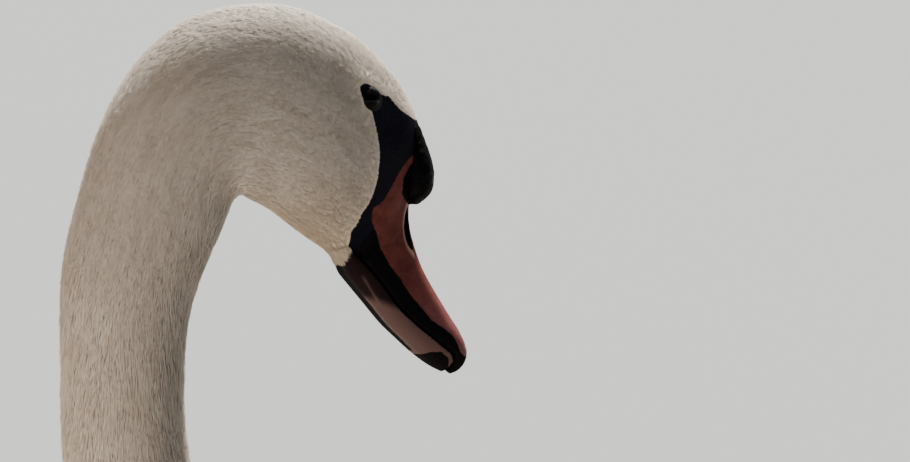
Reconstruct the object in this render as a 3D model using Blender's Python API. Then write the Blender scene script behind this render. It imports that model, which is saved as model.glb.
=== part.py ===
# Mute swan, life size, resting on its belly as it does on water, neck in its S curve and bill lowered.
# Metres, +Z up, the bird faces +X. Every solid is the outer form, out to the tips of the plumage.
# The feathered body is one lofted form, from the tail's tip to the bill's base, parted by thin cuts.

import math

import bmesh
import bpy
import numpy as np
from mathutils import Vector

GAP = 0.0004  # left between neighbouring solids
CROWN_X = 0.2903  # the crown lies this far in front of the body's middle

# The form's cross-sections, from the tail's tip to the bill's base: dorsal point (x, z), ventral point (x, z),
# half width, how far the widest level lies above the middle as a share of the half depth, and the section's
# squareness below that level. x is measured from the crown, z from the floor.
STATIONS = {
    "tail_tip": ((-0.690, 0.191), (-0.690, 0.187), 0.010, 0.0, 1.0),
    "tail_end": ((-0.655, 0.193), (-0.652, 0.180), 0.030, 0.0, 1.0),
    "tail_middle": ((-0.605, 0.198), (-0.598, 0.163), 0.051, 0.0, 1.0),
    "tail_root": ((-0.540, 0.208), (-0.530, 0.128), 0.069, 0.0, 1.0),
    "rump": ((-0.475, 0.232), (-0.470, 0.078), 0.094, 0.0, 1.0),
    "hips": ((-0.395, 0.262), (-0.395, 0.026), 0.124, -0.05, 0.95),
    "loins": ((-0.300, 0.282), (-0.300, -0.001), 0.147, -0.10, 0.90),
    "middle": ((-0.205, 0.288), (-0.200, -0.006), 0.157, -0.14, 0.86),
    "shoulders": ((-0.120, 0.281), (-0.100, -0.005), 0.153, -0.14, 0.86),
    "crop": ((-0.062, 0.272), (-0.010, 0.008), 0.138, -0.12, 0.90),
    "breast": ((-0.024, 0.276), (0.062, 0.048), 0.114, -0.10, 0.95),
    "breast_front": ((-0.004, 0.295), (0.106, 0.120), 0.084, 0.0, 1.0),
    "neck_root": ((-0.008, 0.322), (0.102, 0.198), 0.062, 0.0, 1.0),
    "neck_low": ((-0.033, 0.358), (0.068, 0.272), 0.048, 0.0, 1.0),
    "neck_rise": ((-0.071, 0.388), (0.018, 0.3355), 0.0395, 0.0, 1.0),
    "neck_middle": ((-0.097, 0.426), (-0.0215, 0.405), 0.0345, 0.0, 1.0),
    "neck_straight": ((-0.107, 0.465), (-0.0404, 0.462), 0.0320, 0.0, 1.0),
    "neck_upright": ((-0.108, 0.510), (-0.0433, 0.508), 0.0315, 0.0, 1.0),
    "neck_bend": ((-0.108, 0.5423), (-0.040, 0.5356), 0.0315, 0.0, 1.0),
    "nape_low": ((-0.1045, 0.5723), (-0.0323, 0.558), 0.0318, 0.0, 1.0),
    "nape": ((-0.0962, 0.6035), (-0.0234, 0.5773), 0.0318, 0.0, 1.0),
    "nape_high": ((-0.0857, 0.6336), (-0.018, 0.588), 0.0315, 0.02, 1.0),
    "hindcrown": ((-0.067, 0.663), (-0.0143, 0.592), 0.0308, 0.03, 1.0),
    "occiput": ((-0.043, 0.6828), (-0.0104, 0.5924), 0.0300, 0.02, 1.0),
    "crown": ((-0.0112, 0.691), (-0.0045, 0.5894), 0.0294, 0.0, 1.0),
    "forecrown": ((0.0166, 0.689), (0.0049, 0.584), 0.0290, -0.04, 1.0),
    "cheek": ((0.0369, 0.6806), (0.0158, 0.576), 0.0284, -0.08, 0.97),
    "jaw": ((0.0517, 0.6715), (0.0245, 0.5698), 0.0272, -0.10, 0.95),
    "eye": ((0.0628, 0.6612), (0.0305, 0.5658), 0.0252, -0.12, 0.93),
    "forehead": ((0.0719, 0.6501), (0.035, 0.5628), 0.0228, -0.14, 0.92),
    "lores": ((0.0789, 0.6371), (0.0384, 0.5606), 0.0202, -0.16, 0.92),
    "bill_root": ((0.0836, 0.6237), (0.041, 0.5588), 0.0180, -0.18, 0.92),
}
NAMES = list(STATIONS)
PLACE = {name: i for i, name in enumerate(NAMES)}


def cubic(knots, values):
    """The smooth curve through values at knots, as a function."""
    knots = np.asarray(knots, float)
    values = np.asarray(values, float).reshape(len(knots), -1)
    steps = np.diff(knots)
    slopes = np.diff(values, axis=0) / steps[:, None]
    system = np.zeros((len(knots), len(knots)))
    right = np.zeros_like(values)
    system[0, 0] = system[-1, -1] = 1
    for i in range(1, len(knots) - 1):
        system[i, i - 1] = steps[i - 1]
        system[i, i] = 2 * (steps[i - 1] + steps[i])
        system[i, i + 1] = steps[i]
        right[i] = 6 * (slopes[i] - slopes[i - 1])
    bends = np.linalg.solve(system, right)

    def at(t):
        i = int(np.clip(np.searchsorted(knots, t) - 1, 0, len(steps) - 1))
        h, a, b = steps[i], knots[i + 1] - t, t - knots[i]
        return (
            bends[i] * a**3 / (6 * h)
            + bends[i + 1] * b**3 / (6 * h)
            + (values[i] / h - bends[i] * h / 6) * a
            + (values[i + 1] / h - bends[i + 1] * h / 6) * b
        )

    return at


class Form:
    """A lofted form, symmetric about the plane y = 0, from a table of cross-sections."""

    def __init__(self, stations):
        rows = [(*d, *v, *rest) for d, v, *rest in stations]
        table = np.array(rows, float)
        table[:, [0, 2]] += CROWN_X
        moves = np.diff(table[:, :4], axis=0)
        steps = (np.hypot(moves[:, 0], moves[:, 1]) + np.hypot(moves[:, 2], moves[:, 3])) / 2
        self.knots = np.concatenate([[0], np.cumsum(steps)])
        self.at = cubic(self.knots, table)

    def plane(self, t):
        """A point of the section's plane and its normal, towards the bill."""
        dx, dz, vx, vz = self.at(t)[:4]
        up = Vector((dx - vx, 0, dz - vz)).normalized()
        return Vector(((dx + vx) / 2, 0, (dz + vz) / 2)), up.cross(Vector((0, -1, 0)))

    def ring(self, t, around, grow=0.0):
        """The section's points, from the dorsal one round by the left side."""
        dx, dz, vx, vz, width, widest, square = self.at(t)
        middle = Vector(((dx + vx) / 2, 0, (dz + vz) / 2))
        up = Vector(((dx - vx) / 2, 0, (dz - vz) / 2))
        up *= (up.length + grow) / up.length
        points = []
        for k in range(around):
            angle = 2 * math.pi * k / around
            rise, out = math.cos(angle), math.sin(angle)
            if rise < 0:
                rise = -((-rise) ** square)
                out = math.copysign(abs(out) ** square, out)
            level = rise + widest * (1 - rise * rise)
            points.append(middle + up * level + Vector((0, out * (width + grow), 0)))
        return points


def material(name, colour, roughness):
    made = bpy.data.materials.new(name)
    made.use_nodes = True
    shader = made.node_tree.nodes["Principled BSDF"]
    shader.inputs["Base Color"].default_value = (*colour, 1)
    shader.inputs["Roughness"].default_value = roughness
    shader.inputs["Metallic"].default_value = 0
    return made


def add_object(name, mesh, finish=None):
    made = bpy.data.objects.new(name, mesh)
    bpy.context.scene.collection.objects.link(made)
    if finish:
        mesh.materials.append(finish)
    return made


def skin_rings(name, rings, finish=None):
    """A closed solid through rings that have the same number of points, capped at both ends."""
    mesh = bpy.data.meshes.new(name)
    build = bmesh.new()
    rows = [[build.verts.new(p) for p in ring] for ring in rings]
    count = len(rows[0])
    for low, high in zip(rows, rows[1:]):
        for k in range(count):
            n = (k + 1) % count
            build.faces.new((low[k], low[n], high[n], high[k]))
    build.faces.new(rows[0])
    build.faces.new(rows[-1])
    bmesh.ops.recalc_face_normals(build, faces=build.faces)
    build.to_mesh(mesh)
    build.free()
    mesh.shade_smooth()
    mesh.set_sharp_from_angle(angle=math.radians(40))
    return add_object(name, mesh, finish)


def cut(target, cutter):
    """Takes the cutter's volume out of the target, for good."""
    modifier = target.modifiers.new("cut", "BOOLEAN")
    modifier.operation = "DIFFERENCE"
    modifier.object = cutter
    modifier.solver = "EXACT"
    bake(target)


def join(target, other):
    """Makes one body of the two."""
    modifier = target.modifiers.new("join", "BOOLEAN")
    modifier.operation = "UNION"
    modifier.object = other
    modifier.solver = "EXACT"
    bake(target)
    bpy.data.objects.remove(other)


def bake(target):
    """Replaces the object's mesh by the one that its modifiers make."""
    graph = bpy.context.evaluated_depsgraph_get()
    mesh = bpy.data.meshes.new_from_object(target.evaluated_get(graph))
    target.modifiers.clear()
    target.data = mesh


def helper(made):
    made.hide_render = True
    made.display_type = "WIRE"
    return made


# The trunk, the neck, the head and the tail.

body = Form(STATIONS.values())


def body_piece(name, first, last, rings, around, finish, share=(0.0, 0.0)):
    """The body between two stations. Its first section stands a gap off the piece before it."""
    i, j = PLACE[first], PLACE[last]
    start = body.knots[i] + share[0] * (body.knots[i + 1] - body.knots[i])
    end = body.knots[j]
    if share[1]:
        end += share[1] * (body.knots[j + 1] - body.knots[j])
    made = []
    for n in range(rings):
        t = start + (end - start) * n / (rings - 1)
        ring = body.ring(t, around)
        if n == 0 and first != NAMES[0]:
            ring = [p + body.plane(t)[1] * GAP for p in ring]
        made.append([Vector((p.x, p.y, max(p.z, 0.0))) for p in ring])
    return skin_rings(name, made, finish)


def grown_body(name, first, last, rings, around):
    """A helper: the body between two stations, a gap larger all round and at its far end."""
    i, j = PLACE[first], PLACE[last]
    places = np.linspace(body.knots[i], body.knots[j], rings)
    made = [body.ring(t, around, GAP) for t in places]
    end = body.plane(places[-1])[1] * GAP
    made.append([p + end for p in made[-1]])
    return helper(skin_rings(name, made))


# The bill. The upper half's sections run from the culmen, (x, z), down to the cutting edge, (x, z), with the half
# width at that edge; the lower half's from the chin up to the cutting edge.

UPPER_BILL = [
    ((0.0830, 0.6215), (0.0430, 0.5650), 0.0168),
    ((0.0790, 0.6020), (0.0480, 0.5597), 0.0173),
    ((0.0764, 0.5870), (0.0530, 0.5540), 0.0174),
    ((0.0769, 0.5754), (0.0581, 0.5483), 0.0170),
    ((0.0786, 0.5685), (0.0620, 0.5430), 0.0166),
    ((0.0822, 0.5579), (0.0670, 0.5365), 0.0163),
    ((0.0876, 0.5470), (0.0743, 0.5297), 0.0162),
    ((0.0926, 0.5385), (0.0805, 0.5246), 0.0163),
    ((0.0981, 0.5297), (0.0870, 0.5198), 0.0158),
    ((0.1037, 0.5208), (0.0934, 0.5152), 0.0144),
    ((0.1067, 0.5125), (0.0976, 0.5118), 0.0122),
    ((0.1062, 0.5072), (0.0996, 0.5088), 0.0098),
    ((0.1035, 0.5028), (0.0996, 0.5056), 0.0070),
    ((0.0992, 0.5004), (0.0974, 0.5022), 0.0030),
]
LOWER_BILL = [
    ((0.0345, 0.5606), (0.0424, 0.5644), 0.0160),
    ((0.0400, 0.5538), (0.0474, 0.5591), 0.0164),
    ((0.0492, 0.5428), (0.0575, 0.5477), 0.0164),
    ((0.0575, 0.5330), (0.0664, 0.5359), 0.0160),
    ((0.0640, 0.5254), (0.0735, 0.5291), 0.0158),
    ((0.0708, 0.5190), (0.0797, 0.5239), 0.0157),
    ((0.0776, 0.5128), (0.0862, 0.5190), 0.0152),
    ((0.0840, 0.5076), (0.0924, 0.5144), 0.0136),
    ((0.0894, 0.5040), (0.0966, 0.5110), 0.0110),
    ((0.0942, 0.5016), (0.0988, 0.5072), 0.0076),
]


def half_ring(top, edge, width, around, fullness):
    """Half a section: a dome over a flat side that runs across at the cutting edge."""
    middle = Vector((edge[0] + CROWN_X, 0, edge[1]))
    rise = Vector((top[0] - edge[0], 0, top[1] - edge[1]))
    points = []
    for k in range(around):
        angle = math.pi * k / (around - 1)
        up, out = math.sin(angle) ** fullness, math.cos(angle)
        out = math.copysign(abs(out) ** fullness, out)
        points.append(middle + rise * up + Vector((0, out * width, 0)))
    return points


def half_bill(name, table, rings, around, fullness, finish, first=0.0, last=1.0):
    """A half of the bill between two shares of its length."""
    rows = np.array([(*top, *edge, width) for top, edge, width in table])
    moves = np.diff(rows[:, :4], axis=0)
    steps = (np.hypot(moves[:, 0], moves[:, 1]) + np.hypot(moves[:, 2], moves[:, 3])) / 2
    knots = np.concatenate([[0], np.cumsum(steps)])
    at = cubic(knots, rows)
    made = []
    for n in range(rings):
        tx, tz, ex, ez, width = at(knots[-1] * (first + (last - first) * n / (rings - 1)))
        made.append(half_ring((tx, tz), (ex, ez), width, around, fullness))
    return skin_rings(name, made, finish)


NAIL_START = 0.86  # share of the upper bill's length where its nail begins
KNOB = [  # the knob's sections from the forehead down: centre (x, z), half depth, half width
    ((0.0765, 0.6330), 0.0020, 0.0040),
    ((0.0770, 0.6285), 0.0048, 0.0080),
    ((0.0775, 0.6215), 0.0072, 0.0108),
    ((0.0790, 0.6130), 0.0088, 0.0134),
    ((0.0800, 0.6050), 0.0095, 0.0150),
    ((0.0800, 0.5975), 0.0092, 0.0150),
    ((0.0790, 0.5915), 0.0072, 0.0122),
    ((0.0780, 0.5878), 0.0034, 0.0065),
]


def knob_rings(around, grow=0.0):
    rows = []
    for (x, z), depth, width in KNOB:
        ring = []
        for k in range(around):
            angle = 2 * math.pi * k / around
            out = (depth + grow) * math.cos(angle), (width + grow) * math.sin(angle)
            ring.append(Vector((CROWN_X + x + out[0], out[1], z)))
        rows.append(ring)
    return rows


EYE_X, EYE_Y, EYE_Z = 0.0492, 0.0163, 0.6418  # the right and left eyeballs' centres
EYE_RADIUS = 0.0075


def eye_ball(name, side, radius, finish=None):
    mesh = bpy.data.meshes.new(name)
    build = bmesh.new()
    bmesh.ops.create_uvsphere(build, u_segments=16, v_segments=10, radius=radius)
    build.to_mesh(mesh)
    build.free()
    mesh.shade_smooth()
    made = add_object(name, mesh, finish)
    made.location = (CROWN_X + EYE_X, side * EYE_Y, EYE_Z)
    return made


# The folded wings: an arch over the body, open below, whose two halves are the wings. Each row is a section across:
# x, height of the top, half width, height of the widest level, and the wing's own thickness there.

WING_ARCH = [
    (-0.028, 0.250, 0.128, 0.160, 0.050),
    (-0.050, 0.272, 0.148, 0.158, 0.060),
    (-0.100, 0.293, 0.167, 0.155, 0.060),
    (-0.180, 0.306, 0.178, 0.152, 0.060),
    (-0.270, 0.308, 0.176, 0.152, 0.060),
    (-0.360, 0.298, 0.160, 0.156, 0.050),
    (-0.450, 0.276, 0.130, 0.168, 0.036),
    (-0.530, 0.250, 0.094, 0.186, 0.020),
    (-0.590, 0.231, 0.058, 0.200, 0.010),
    (-0.625, 0.222, 0.030, 0.208, 0.005),
]
WING_TOP = [52, 40, 24, 11, 5, 3, 3, 5, 12, 30]  # degrees from straight up to the wing's upper edge, by row
WING_LOW = [78, 96, 108, 112, 112, 110, 106, 100, 92, 78]  # and to its lower edge


def wing(name, side, rings, around, finish):
    """One folded wing: the arch's skin between its upper and lower edge, with its thickness inwards."""
    rows = np.column_stack([np.array(WING_ARCH), WING_TOP, WING_LOW])
    at = cubic(-rows[:, 0], rows)
    places = np.linspace(-rows[0, 0], -rows[-1, 0], rings)
    made = []
    for place in places:
        x, top, width, level, thick, upper, lower = at(place)
        outer, inner = [], []
        for k in range(around):
            share = k / (around - 1)
            angle = math.radians(upper + (lower - upper) * share)
            rise, out = math.cos(angle), math.sin(angle)
            edge = 1 - abs(2 * share - 1) ** 3
            depth = 0.002 + (thick - 0.002) * edge
            tall = top - level if rise > 0 else 0.9 * (top - level)
            outer.append(Vector((CROWN_X + x, side * width * out, level + tall * rise)))
            inner.append(
                Vector((CROWN_X + x, side * (width - depth) * out, level + (tall - depth) * rise))
            )
        made.append(outer + inner[::-1])
    return skin_rings(name, made, finish)


# The legs, folded under the belly: the shank lies along the floor with the webbed foot in front of it.

FOOT_X, FOOT_Y = -0.205, 0.098  # where the toes meet, from the crown and from the middle
TOE_REACH = {"inner": (0.086, -17), "middle": (0.104, 4), "outer": (0.098, 24)}  # length, degrees outwards
TOE_HEIGHT, WEB_HEIGHT = 0.0085, 0.0022
TOE_SPREAD = 0.095  # radians from a toe's ridge to where the web begins
WEB_REACH = 0.80  # the web's edge midway between two toes, as a share of their reach
FOOT_STEPS = 11
SHANK = [  # from the toes' joint back to the heel and up into the belly: x, z, half width, half height
    (0.006, 0.0062, 0.0070, 0.0058),
    (-0.020, 0.0085, 0.0062, 0.0080),
    (-0.060, 0.0095, 0.0060, 0.0088),
    (-0.095, 0.0110, 0.0072, 0.0104),
    (-0.112, 0.0210, 0.0085, 0.0110),
    (-0.108, 0.0420, 0.0100, 0.0120),
    (-0.098, 0.0620, 0.0120, 0.0140),
]


def foot(name, side, finish):
    """The webbed foot as one relief: toes are ridges on a thin web with a flat sole."""
    rows = []  # a row's direction, its reach and how much of a toe it holds, from the inner edge outwards
    toes = [(length, math.radians(turn)) for length, turn in TOE_REACH.values()]
    for (reach, turn), (next_reach, next_turn) in zip(toes, toes[1:]):
        half = TOE_SPREAD
        middle = (turn + next_turn) / 2
        rows += [(turn, reach, 1.0), (turn + half, reach * 0.95, 0.0)]
        rows += [(middle, (reach + next_reach) / 2 * WEB_REACH, 0.0)]
        rows += [(next_turn - half, next_reach * 0.95, 0.0)]
    first, last = toes[0], toes[-1]
    rows = [(first[1] - TOE_SPREAD, first[0] * 0.95, 0.0), *rows, (last[1], last[0], 1.0)]
    rows += [(last[1] + TOE_SPREAD, last[0] * 0.95, 0.0)]
    rings = []
    for turn, reach, toe in rows:
        upper, lower = [], []
        for i in range(FOOT_STEPS):
            share = i / (FOOT_STEPS - 1)
            r = 0.006 + (reach - 0.006) * share
            x = FOOT_X + CROWN_X + r * math.cos(turn)
            y = side * (FOOT_Y + r * math.sin(turn))
            knuckle = 0.88 + 0.12 * math.cos(share * 6 * math.pi)
            tip = math.sqrt(1 - share**6)
            height = WEB_HEIGHT + (TOE_HEIGHT - WEB_HEIGHT) * toe * knuckle * tip * (1 - 0.45 * share)
            upper.append(Vector((x, y, height)))
            lower.append(Vector((x, y, 0.0)))
        rings.append(upper + lower[::-1])
    return skin_rings(name, rings, finish)


def shank(name, side, around):
    """The shank and heel as a tube that ends inside the belly."""
    rows = np.array(SHANK)
    knots = np.concatenate([[0], np.cumsum(np.hypot(*np.diff(rows[:, :2], axis=0).T))])
    at = cubic(knots, rows)
    made = []
    places = np.linspace(0, knots[-1], 12)
    for t in places:
        x, z, width, height = at(t)
        ahead, behind = at(min(t + 0.002, knots[-1])), at(max(t - 0.002, 0))
        run = Vector((ahead[0] - behind[0], 0, ahead[1] - behind[1])).normalized()
        up = Vector((0, -1, 0)).cross(run)
        ring = []
        for k in range(around):
            angle = 2 * math.pi * k / around
            point = Vector((CROWN_X + FOOT_X + x, side * FOOT_Y, z))
            point += up * height * math.cos(angle) + Vector((0, width * math.sin(angle), 0))
            point.z = max(point.z, 0.0)
            ring.append(point)
        made.append(ring)
    return skin_rings(name, made)


def main():
    for old in list(bpy.data.objects):
        bpy.data.objects.remove(old)

    plumage = material("plumage", (0.82, 0.78, 0.70), 0.75)
    orange = material("bill_orange", (0.45, 0.12, 0.05), 0.45)
    black = material("bare_black", (0.01, 0.01, 0.012), 0.4)
    iris = material("eye_brown", (0.02, 0.01, 0.008), 0.08)
    web = material("foot_black", (0.03, 0.03, 0.032), 0.6)

    body_piece("tail", "tail_tip", "tail_root", 9, 20, plumage)
    body_piece("trunk", "tail_root", "breast_front", 22, 28, plumage, (0.0, 0.3))
    body_piece("neck_lower", "breast_front", "neck_rise", 9, 22, plumage, (0.3, 0.5))
    body_piece("neck_middle", "neck_rise", "neck_bend", 9, 20, plumage, (0.5, 0.0))
    body_piece("neck_upper", "neck_bend", "nape_high", 8, 20, plumage)
    head = body_piece("head", "nape_high", "bill_root", 18, 26, plumage)

    upper = half_bill("bill_upper", UPPER_BILL, 15, 17, 0.72, orange, 0.0, NAIL_START - 0.004)
    nail = half_bill("bill_nail", UPPER_BILL, 6, 17, 0.72, black, NAIL_START, 1.0)
    lower = half_bill("bill_lower", LOWER_BILL, 12, 15, 0.78, black)

    for side, word in ((1, "left"), (-1, "right")):
        socket = helper(eye_ball("socket_" + word, side, EYE_RADIUS + GAP))
        cut(head, socket)
        eye_ball("eye_" + word, side, EYE_RADIUS, iris)

    grown = grown_body("grown_body", "tail_tip", "neck_straight", 44, 28)
    for side, word in ((1, "left"), (-1, "right")):
        folded = wing("wing_" + word, side, 18, 10, plumage)
        cut(folded, grown)
        leg = foot("leg_" + word, side, web)
        join(leg, shank("shank_" + word, side, 10))
        cut(leg, grown)

    grown_head = grown_body("grown_head", "crown", "bill_root", 14, 28)
    knob = skin_rings("knob", knob_rings(16), black)
    for piece in (knob, upper, lower):
        cut(piece, grown_head)
    cut(upper, helper(skin_rings("grown_knob", knob_rings(16, GAP))))


main()
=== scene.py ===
import math

import bpy
import numpy as np
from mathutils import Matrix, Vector, noise


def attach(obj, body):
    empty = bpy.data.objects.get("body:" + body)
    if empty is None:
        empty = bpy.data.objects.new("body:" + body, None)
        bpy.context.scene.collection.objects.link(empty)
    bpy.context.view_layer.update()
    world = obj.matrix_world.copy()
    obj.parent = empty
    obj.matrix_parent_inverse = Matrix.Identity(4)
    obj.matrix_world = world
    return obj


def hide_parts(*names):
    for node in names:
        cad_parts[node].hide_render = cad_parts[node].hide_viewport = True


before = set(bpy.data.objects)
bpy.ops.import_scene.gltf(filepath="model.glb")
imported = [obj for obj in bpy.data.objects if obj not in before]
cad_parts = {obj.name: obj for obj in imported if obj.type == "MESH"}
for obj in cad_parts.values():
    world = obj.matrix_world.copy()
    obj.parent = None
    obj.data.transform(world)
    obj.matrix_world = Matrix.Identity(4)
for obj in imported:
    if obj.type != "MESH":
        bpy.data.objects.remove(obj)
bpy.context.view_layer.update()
scene = bpy.context.scene
rng = np.random.default_rng(11)


# the outer form of tail, body, neck and head, out to the plumage: dorsal (x, z), ventral (x, z), half width,
# shift of the section's middle, squareness below; x runs from the crown, z from the floor
crownX = 0.2903
formStations = np.array([
    (-0.690, 0.191, -0.690, 0.187, 0.010, 0.0, 1.0),  # 0, the tail's tip
    (-0.655, 0.193, -0.652, 0.180, 0.030, 0.0, 1.0),
    (-0.605, 0.198, -0.598, 0.163, 0.051, 0.0, 1.0),
    (-0.540, 0.208, -0.530, 0.128, 0.069, 0.0, 1.0),  # 3, the tail's root
    (-0.475, 0.232, -0.470, 0.078, 0.094, 0.0, 1.0),
    (-0.395, 0.262, -0.395, 0.026, 0.124, -0.05, 0.95),
    (-0.300, 0.282, -0.300, -0.001, 0.147, -0.10, 0.90),
    (-0.205, 0.288, -0.200, -0.006, 0.157, -0.14, 0.86),  # 7, the middle of the back
    (-0.120, 0.281, -0.100, -0.005, 0.153, -0.14, 0.86),
    (-0.062, 0.272, -0.010, 0.008, 0.138, -0.12, 0.90),
    (-0.024, 0.276, 0.062, 0.048, 0.114, -0.10, 0.95),
    (-0.004, 0.295, 0.106, 0.120, 0.084, 0.0, 1.0),  # 11, the breast
    (-0.008, 0.322, 0.102, 0.198, 0.062, 0.0, 1.0),
    (-0.033, 0.358, 0.068, 0.272, 0.048, 0.0, 1.0),
    (-0.071, 0.388, 0.018, 0.3355, 0.0395, 0.0, 1.0),
    (-0.097, 0.426, -0.0215, 0.405, 0.0345, 0.0, 1.0),  # 15, the middle of the neck
    (-0.107, 0.465, -0.0404, 0.462, 0.0320, 0.0, 1.0),
    (-0.108, 0.510, -0.0433, 0.508, 0.0315, 0.0, 1.0),
    (-0.108, 0.5423, -0.040, 0.5356, 0.0315, 0.0, 1.0),
    (-0.1045, 0.5723, -0.0323, 0.558, 0.0318, 0.0, 1.0),
    (-0.0962, 0.6035, -0.0234, 0.5773, 0.0318, 0.0, 1.0),  # 20, the nape
    (-0.0857, 0.6336, -0.018, 0.588, 0.0315, 0.02, 1.0),
    (-0.067, 0.663, -0.0143, 0.592, 0.0308, 0.03, 1.0),
    (-0.043, 0.6828, -0.0104, 0.5924, 0.0300, 0.02, 1.0),
    (-0.0112, 0.691, -0.0045, 0.5894, 0.0294, 0.0, 1.0),  # 24, the crown
    (0.0166, 0.689, 0.0049, 0.584, 0.0290, -0.04, 1.0),
    (0.0369, 0.6806, 0.0158, 0.576, 0.0284, -0.08, 0.97),
    (0.0517, 0.6715, 0.0245, 0.5698, 0.0272, -0.10, 0.95),
    (0.0628, 0.6612, 0.0305, 0.5658, 0.0252, -0.12, 0.93),
    (0.0719, 0.6501, 0.035, 0.5628, 0.0228, -0.14, 0.92),  # 29, the forehead
    (0.0789, 0.6371, 0.0384, 0.5606, 0.0202, -0.16, 0.92),
    (0.0836, 0.6237, 0.041, 0.5588, 0.0180, -0.18, 0.92),  # 31, the bill's root
])
formStations[:, [0, 2]] += crownX


def smoothCurve(knots, values):
    # the natural cubic through values at knots, for many places at once
    knots = np.asarray(knots, float)
    values = np.asarray(values, float).reshape(len(knots), -1)
    steps = np.diff(knots)
    slopes = np.diff(values, axis=0) / steps[:, None]
    system = np.zeros((len(knots), len(knots)))
    right = np.zeros_like(values)
    system[0, 0] = system[-1, -1] = 1
    for i in range(1, len(knots) - 1):
        system[i, i - 1:i + 2] = steps[i - 1], 2 * (steps[i - 1] + steps[i]), steps[i]
        right[i] = 6 * (slopes[i] - slopes[i - 1])
    bends = np.linalg.solve(system, right)

    def at(places):
        places = np.atleast_1d(np.asarray(places, float))
        i = np.clip(np.searchsorted(knots, places) - 1, 0, len(steps) - 1)
        h, a, b = steps[i][:, None], (knots[i + 1] - places)[:, None], (places - knots[i])[:, None]
        low = bends[i] * a ** 3 / (6 * h) + (values[i] / h - bends[i] * h / 6) * a
        return low + bends[i + 1] * b ** 3 / (6 * h) + (values[i + 1] / h - bends[i + 1] * h / 6) * b

    return at


def runLengths(table, columns=((0, 1), (2, 3))):
    # how far along the form each row lies
    moves = [np.hypot(*np.diff(table[:, list(pair)], axis=0).T) for pair in columns]
    return np.concatenate([[0], np.cumsum(np.mean(moves, axis=0))])


formKnots = runLengths(formStations)
formAt = smoothCurve(formKnots, formStations)


def formPoints(places, angles):
    # points of the outer form on the grid places x angles; angle 0 is dorsal, a quarter turn is the left side
    row = formAt(places)
    middle = np.stack([(row[:, 0] + row[:, 2]) / 2, 0 * row[:, 0], (row[:, 1] + row[:, 3]) / 2], -1)
    up = np.stack([(row[:, 0] - row[:, 2]) / 2, 0 * row[:, 0], (row[:, 1] - row[:, 3]) / 2], -1)
    rise = np.cos(angles)[None] * np.ones((len(row), 1))
    out = np.sin(angles)[None] * np.ones((len(row), 1))
    power = row[:, 6][:, None]
    under = rise < 0
    rise = np.where(under, -np.abs(rise) ** power, rise)
    out = np.where(under, np.sign(out) * np.abs(out) ** power, out)
    level = rise + row[:, 5][:, None] * (1 - rise ** 2)
    points = middle[:, None] + up[:, None] * level[..., None]
    points[..., 1] += out * row[:, 4][:, None]
    return points


def gridNormals(points, around=True):
    # outward normals of a grid of points, rows along and columns round
    along = np.gradient(points, axis=0)
    if around:
        side = (np.roll(points, -1, 1) - np.roll(points, 1, 1)) / 2
    else:
        side = np.gradient(points, axis=1)
    normals = np.cross(along, side)
    return normals / np.maximum(np.linalg.norm(normals, axis=-1, keepdims=True), 1e-12)


def unit(vectors):
    return vectors / np.maximum(np.linalg.norm(vectors, axis=-1, keepdims=True), 1e-12)


def fullTurn(count):
    # angles of equal steps round one turn
    return 2 * math.pi * np.arange(count) / count


def smoothStep(low, high, value):
    t = np.clip((value - low) / (high - low), 0, 1)
    return t * t * (3 - 2 * t)


def hump(value, middle, reach):
    # a soft rise of height one
    return np.exp(-((value - middle) / reach) ** 2)


def signedPower(value, power):
    return np.sign(value) * np.abs(value) ** power


def rowsAlong(table, share):
    # a table's rows at shares of its length
    lengths = runLengths(table)
    return smoothCurve(lengths, table)(share * lengths[-1])


def setMark(mesh, name, values):
    # a named value, or a vector of three, on each point of a mesh
    wide = np.ndim(values) == 2
    layer = mesh.attributes.new(name, "FLOAT_VECTOR" if wide else "FLOAT", "POINT")
    layer.data.foreach_set("vector" if wide else "value", np.asarray(values, np.float32).ravel())


def gridMesh(name, points, caps=(True, True), closed=True, marks=None, flip=False):
    # a mesh from a grid of points, with its own unwrap and named marks for each point
    rows, cols = points.shape[:2]
    verts = points.reshape(-1, 3)
    index = np.arange(rows * cols).reshape(rows, cols)
    wrap = cols if closed else cols - 1
    low, high = index[:-1], index[1:]
    nextLow, nextHigh = np.roll(low, -1, 1)[:, :wrap], np.roll(high, -1, 1)[:, :wrap]
    quads = np.stack([low[:, :wrap], high[:, :wrap], nextHigh, nextLow], -1).reshape(-1, 4)
    r, c = np.meshgrid(np.arange(rows - 1), np.arange(wrap), indexing="ij")
    corner = [(c, r), (c, r + 1), (c + 1, r + 1), (c + 1, r)]
    uvs = np.stack([np.stack([u / wrap, v / (rows - 1)], -1) for u, v in corner], 2).reshape(-1, 4, 2)
    if flip:
        quads, uvs = quads[:, ::-1], uvs[:, ::-1]
    faces, faceUvs = quads.tolist(), uvs.reshape(-1, 2)
    extra = []
    for cap, ring in zip(caps, (index[0], index[-1])):
        if not cap:
            continue
        centre = len(verts) + len(extra)
        extra.append(verts[ring].mean(0))
        loop = ring if (ring[0] == 0) == (not flip) else ring[::-1]
        for a, b in zip(loop, np.roll(loop, -1)):
            faces.append([int(a), int(b), centre])
            faceUvs = np.concatenate([faceUvs, [[0.5, 0], [0.5, 0], [0.5, 0]]])
    if extra:
        verts = np.concatenate([verts, extra])
    mesh = bpy.data.meshes.new(name)
    mesh.from_pydata(verts.tolist(), [], faces)
    layer = mesh.uv_layers.new(name="unwrap")
    layer.data.foreach_set("uv", np.ascontiguousarray(faceUvs, np.float32).ravel())
    for key, values in (marks or {}).items():
        flat = np.asarray(values, float).reshape(-1)
        pad = np.repeat(flat[-1:], len(extra), 0)
        setMark(mesh, key, np.concatenate([flat, pad]))
    mesh.polygons.foreach_set("use_smooth", np.ones(len(mesh.polygons), bool))
    mesh.update()
    return mesh


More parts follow.
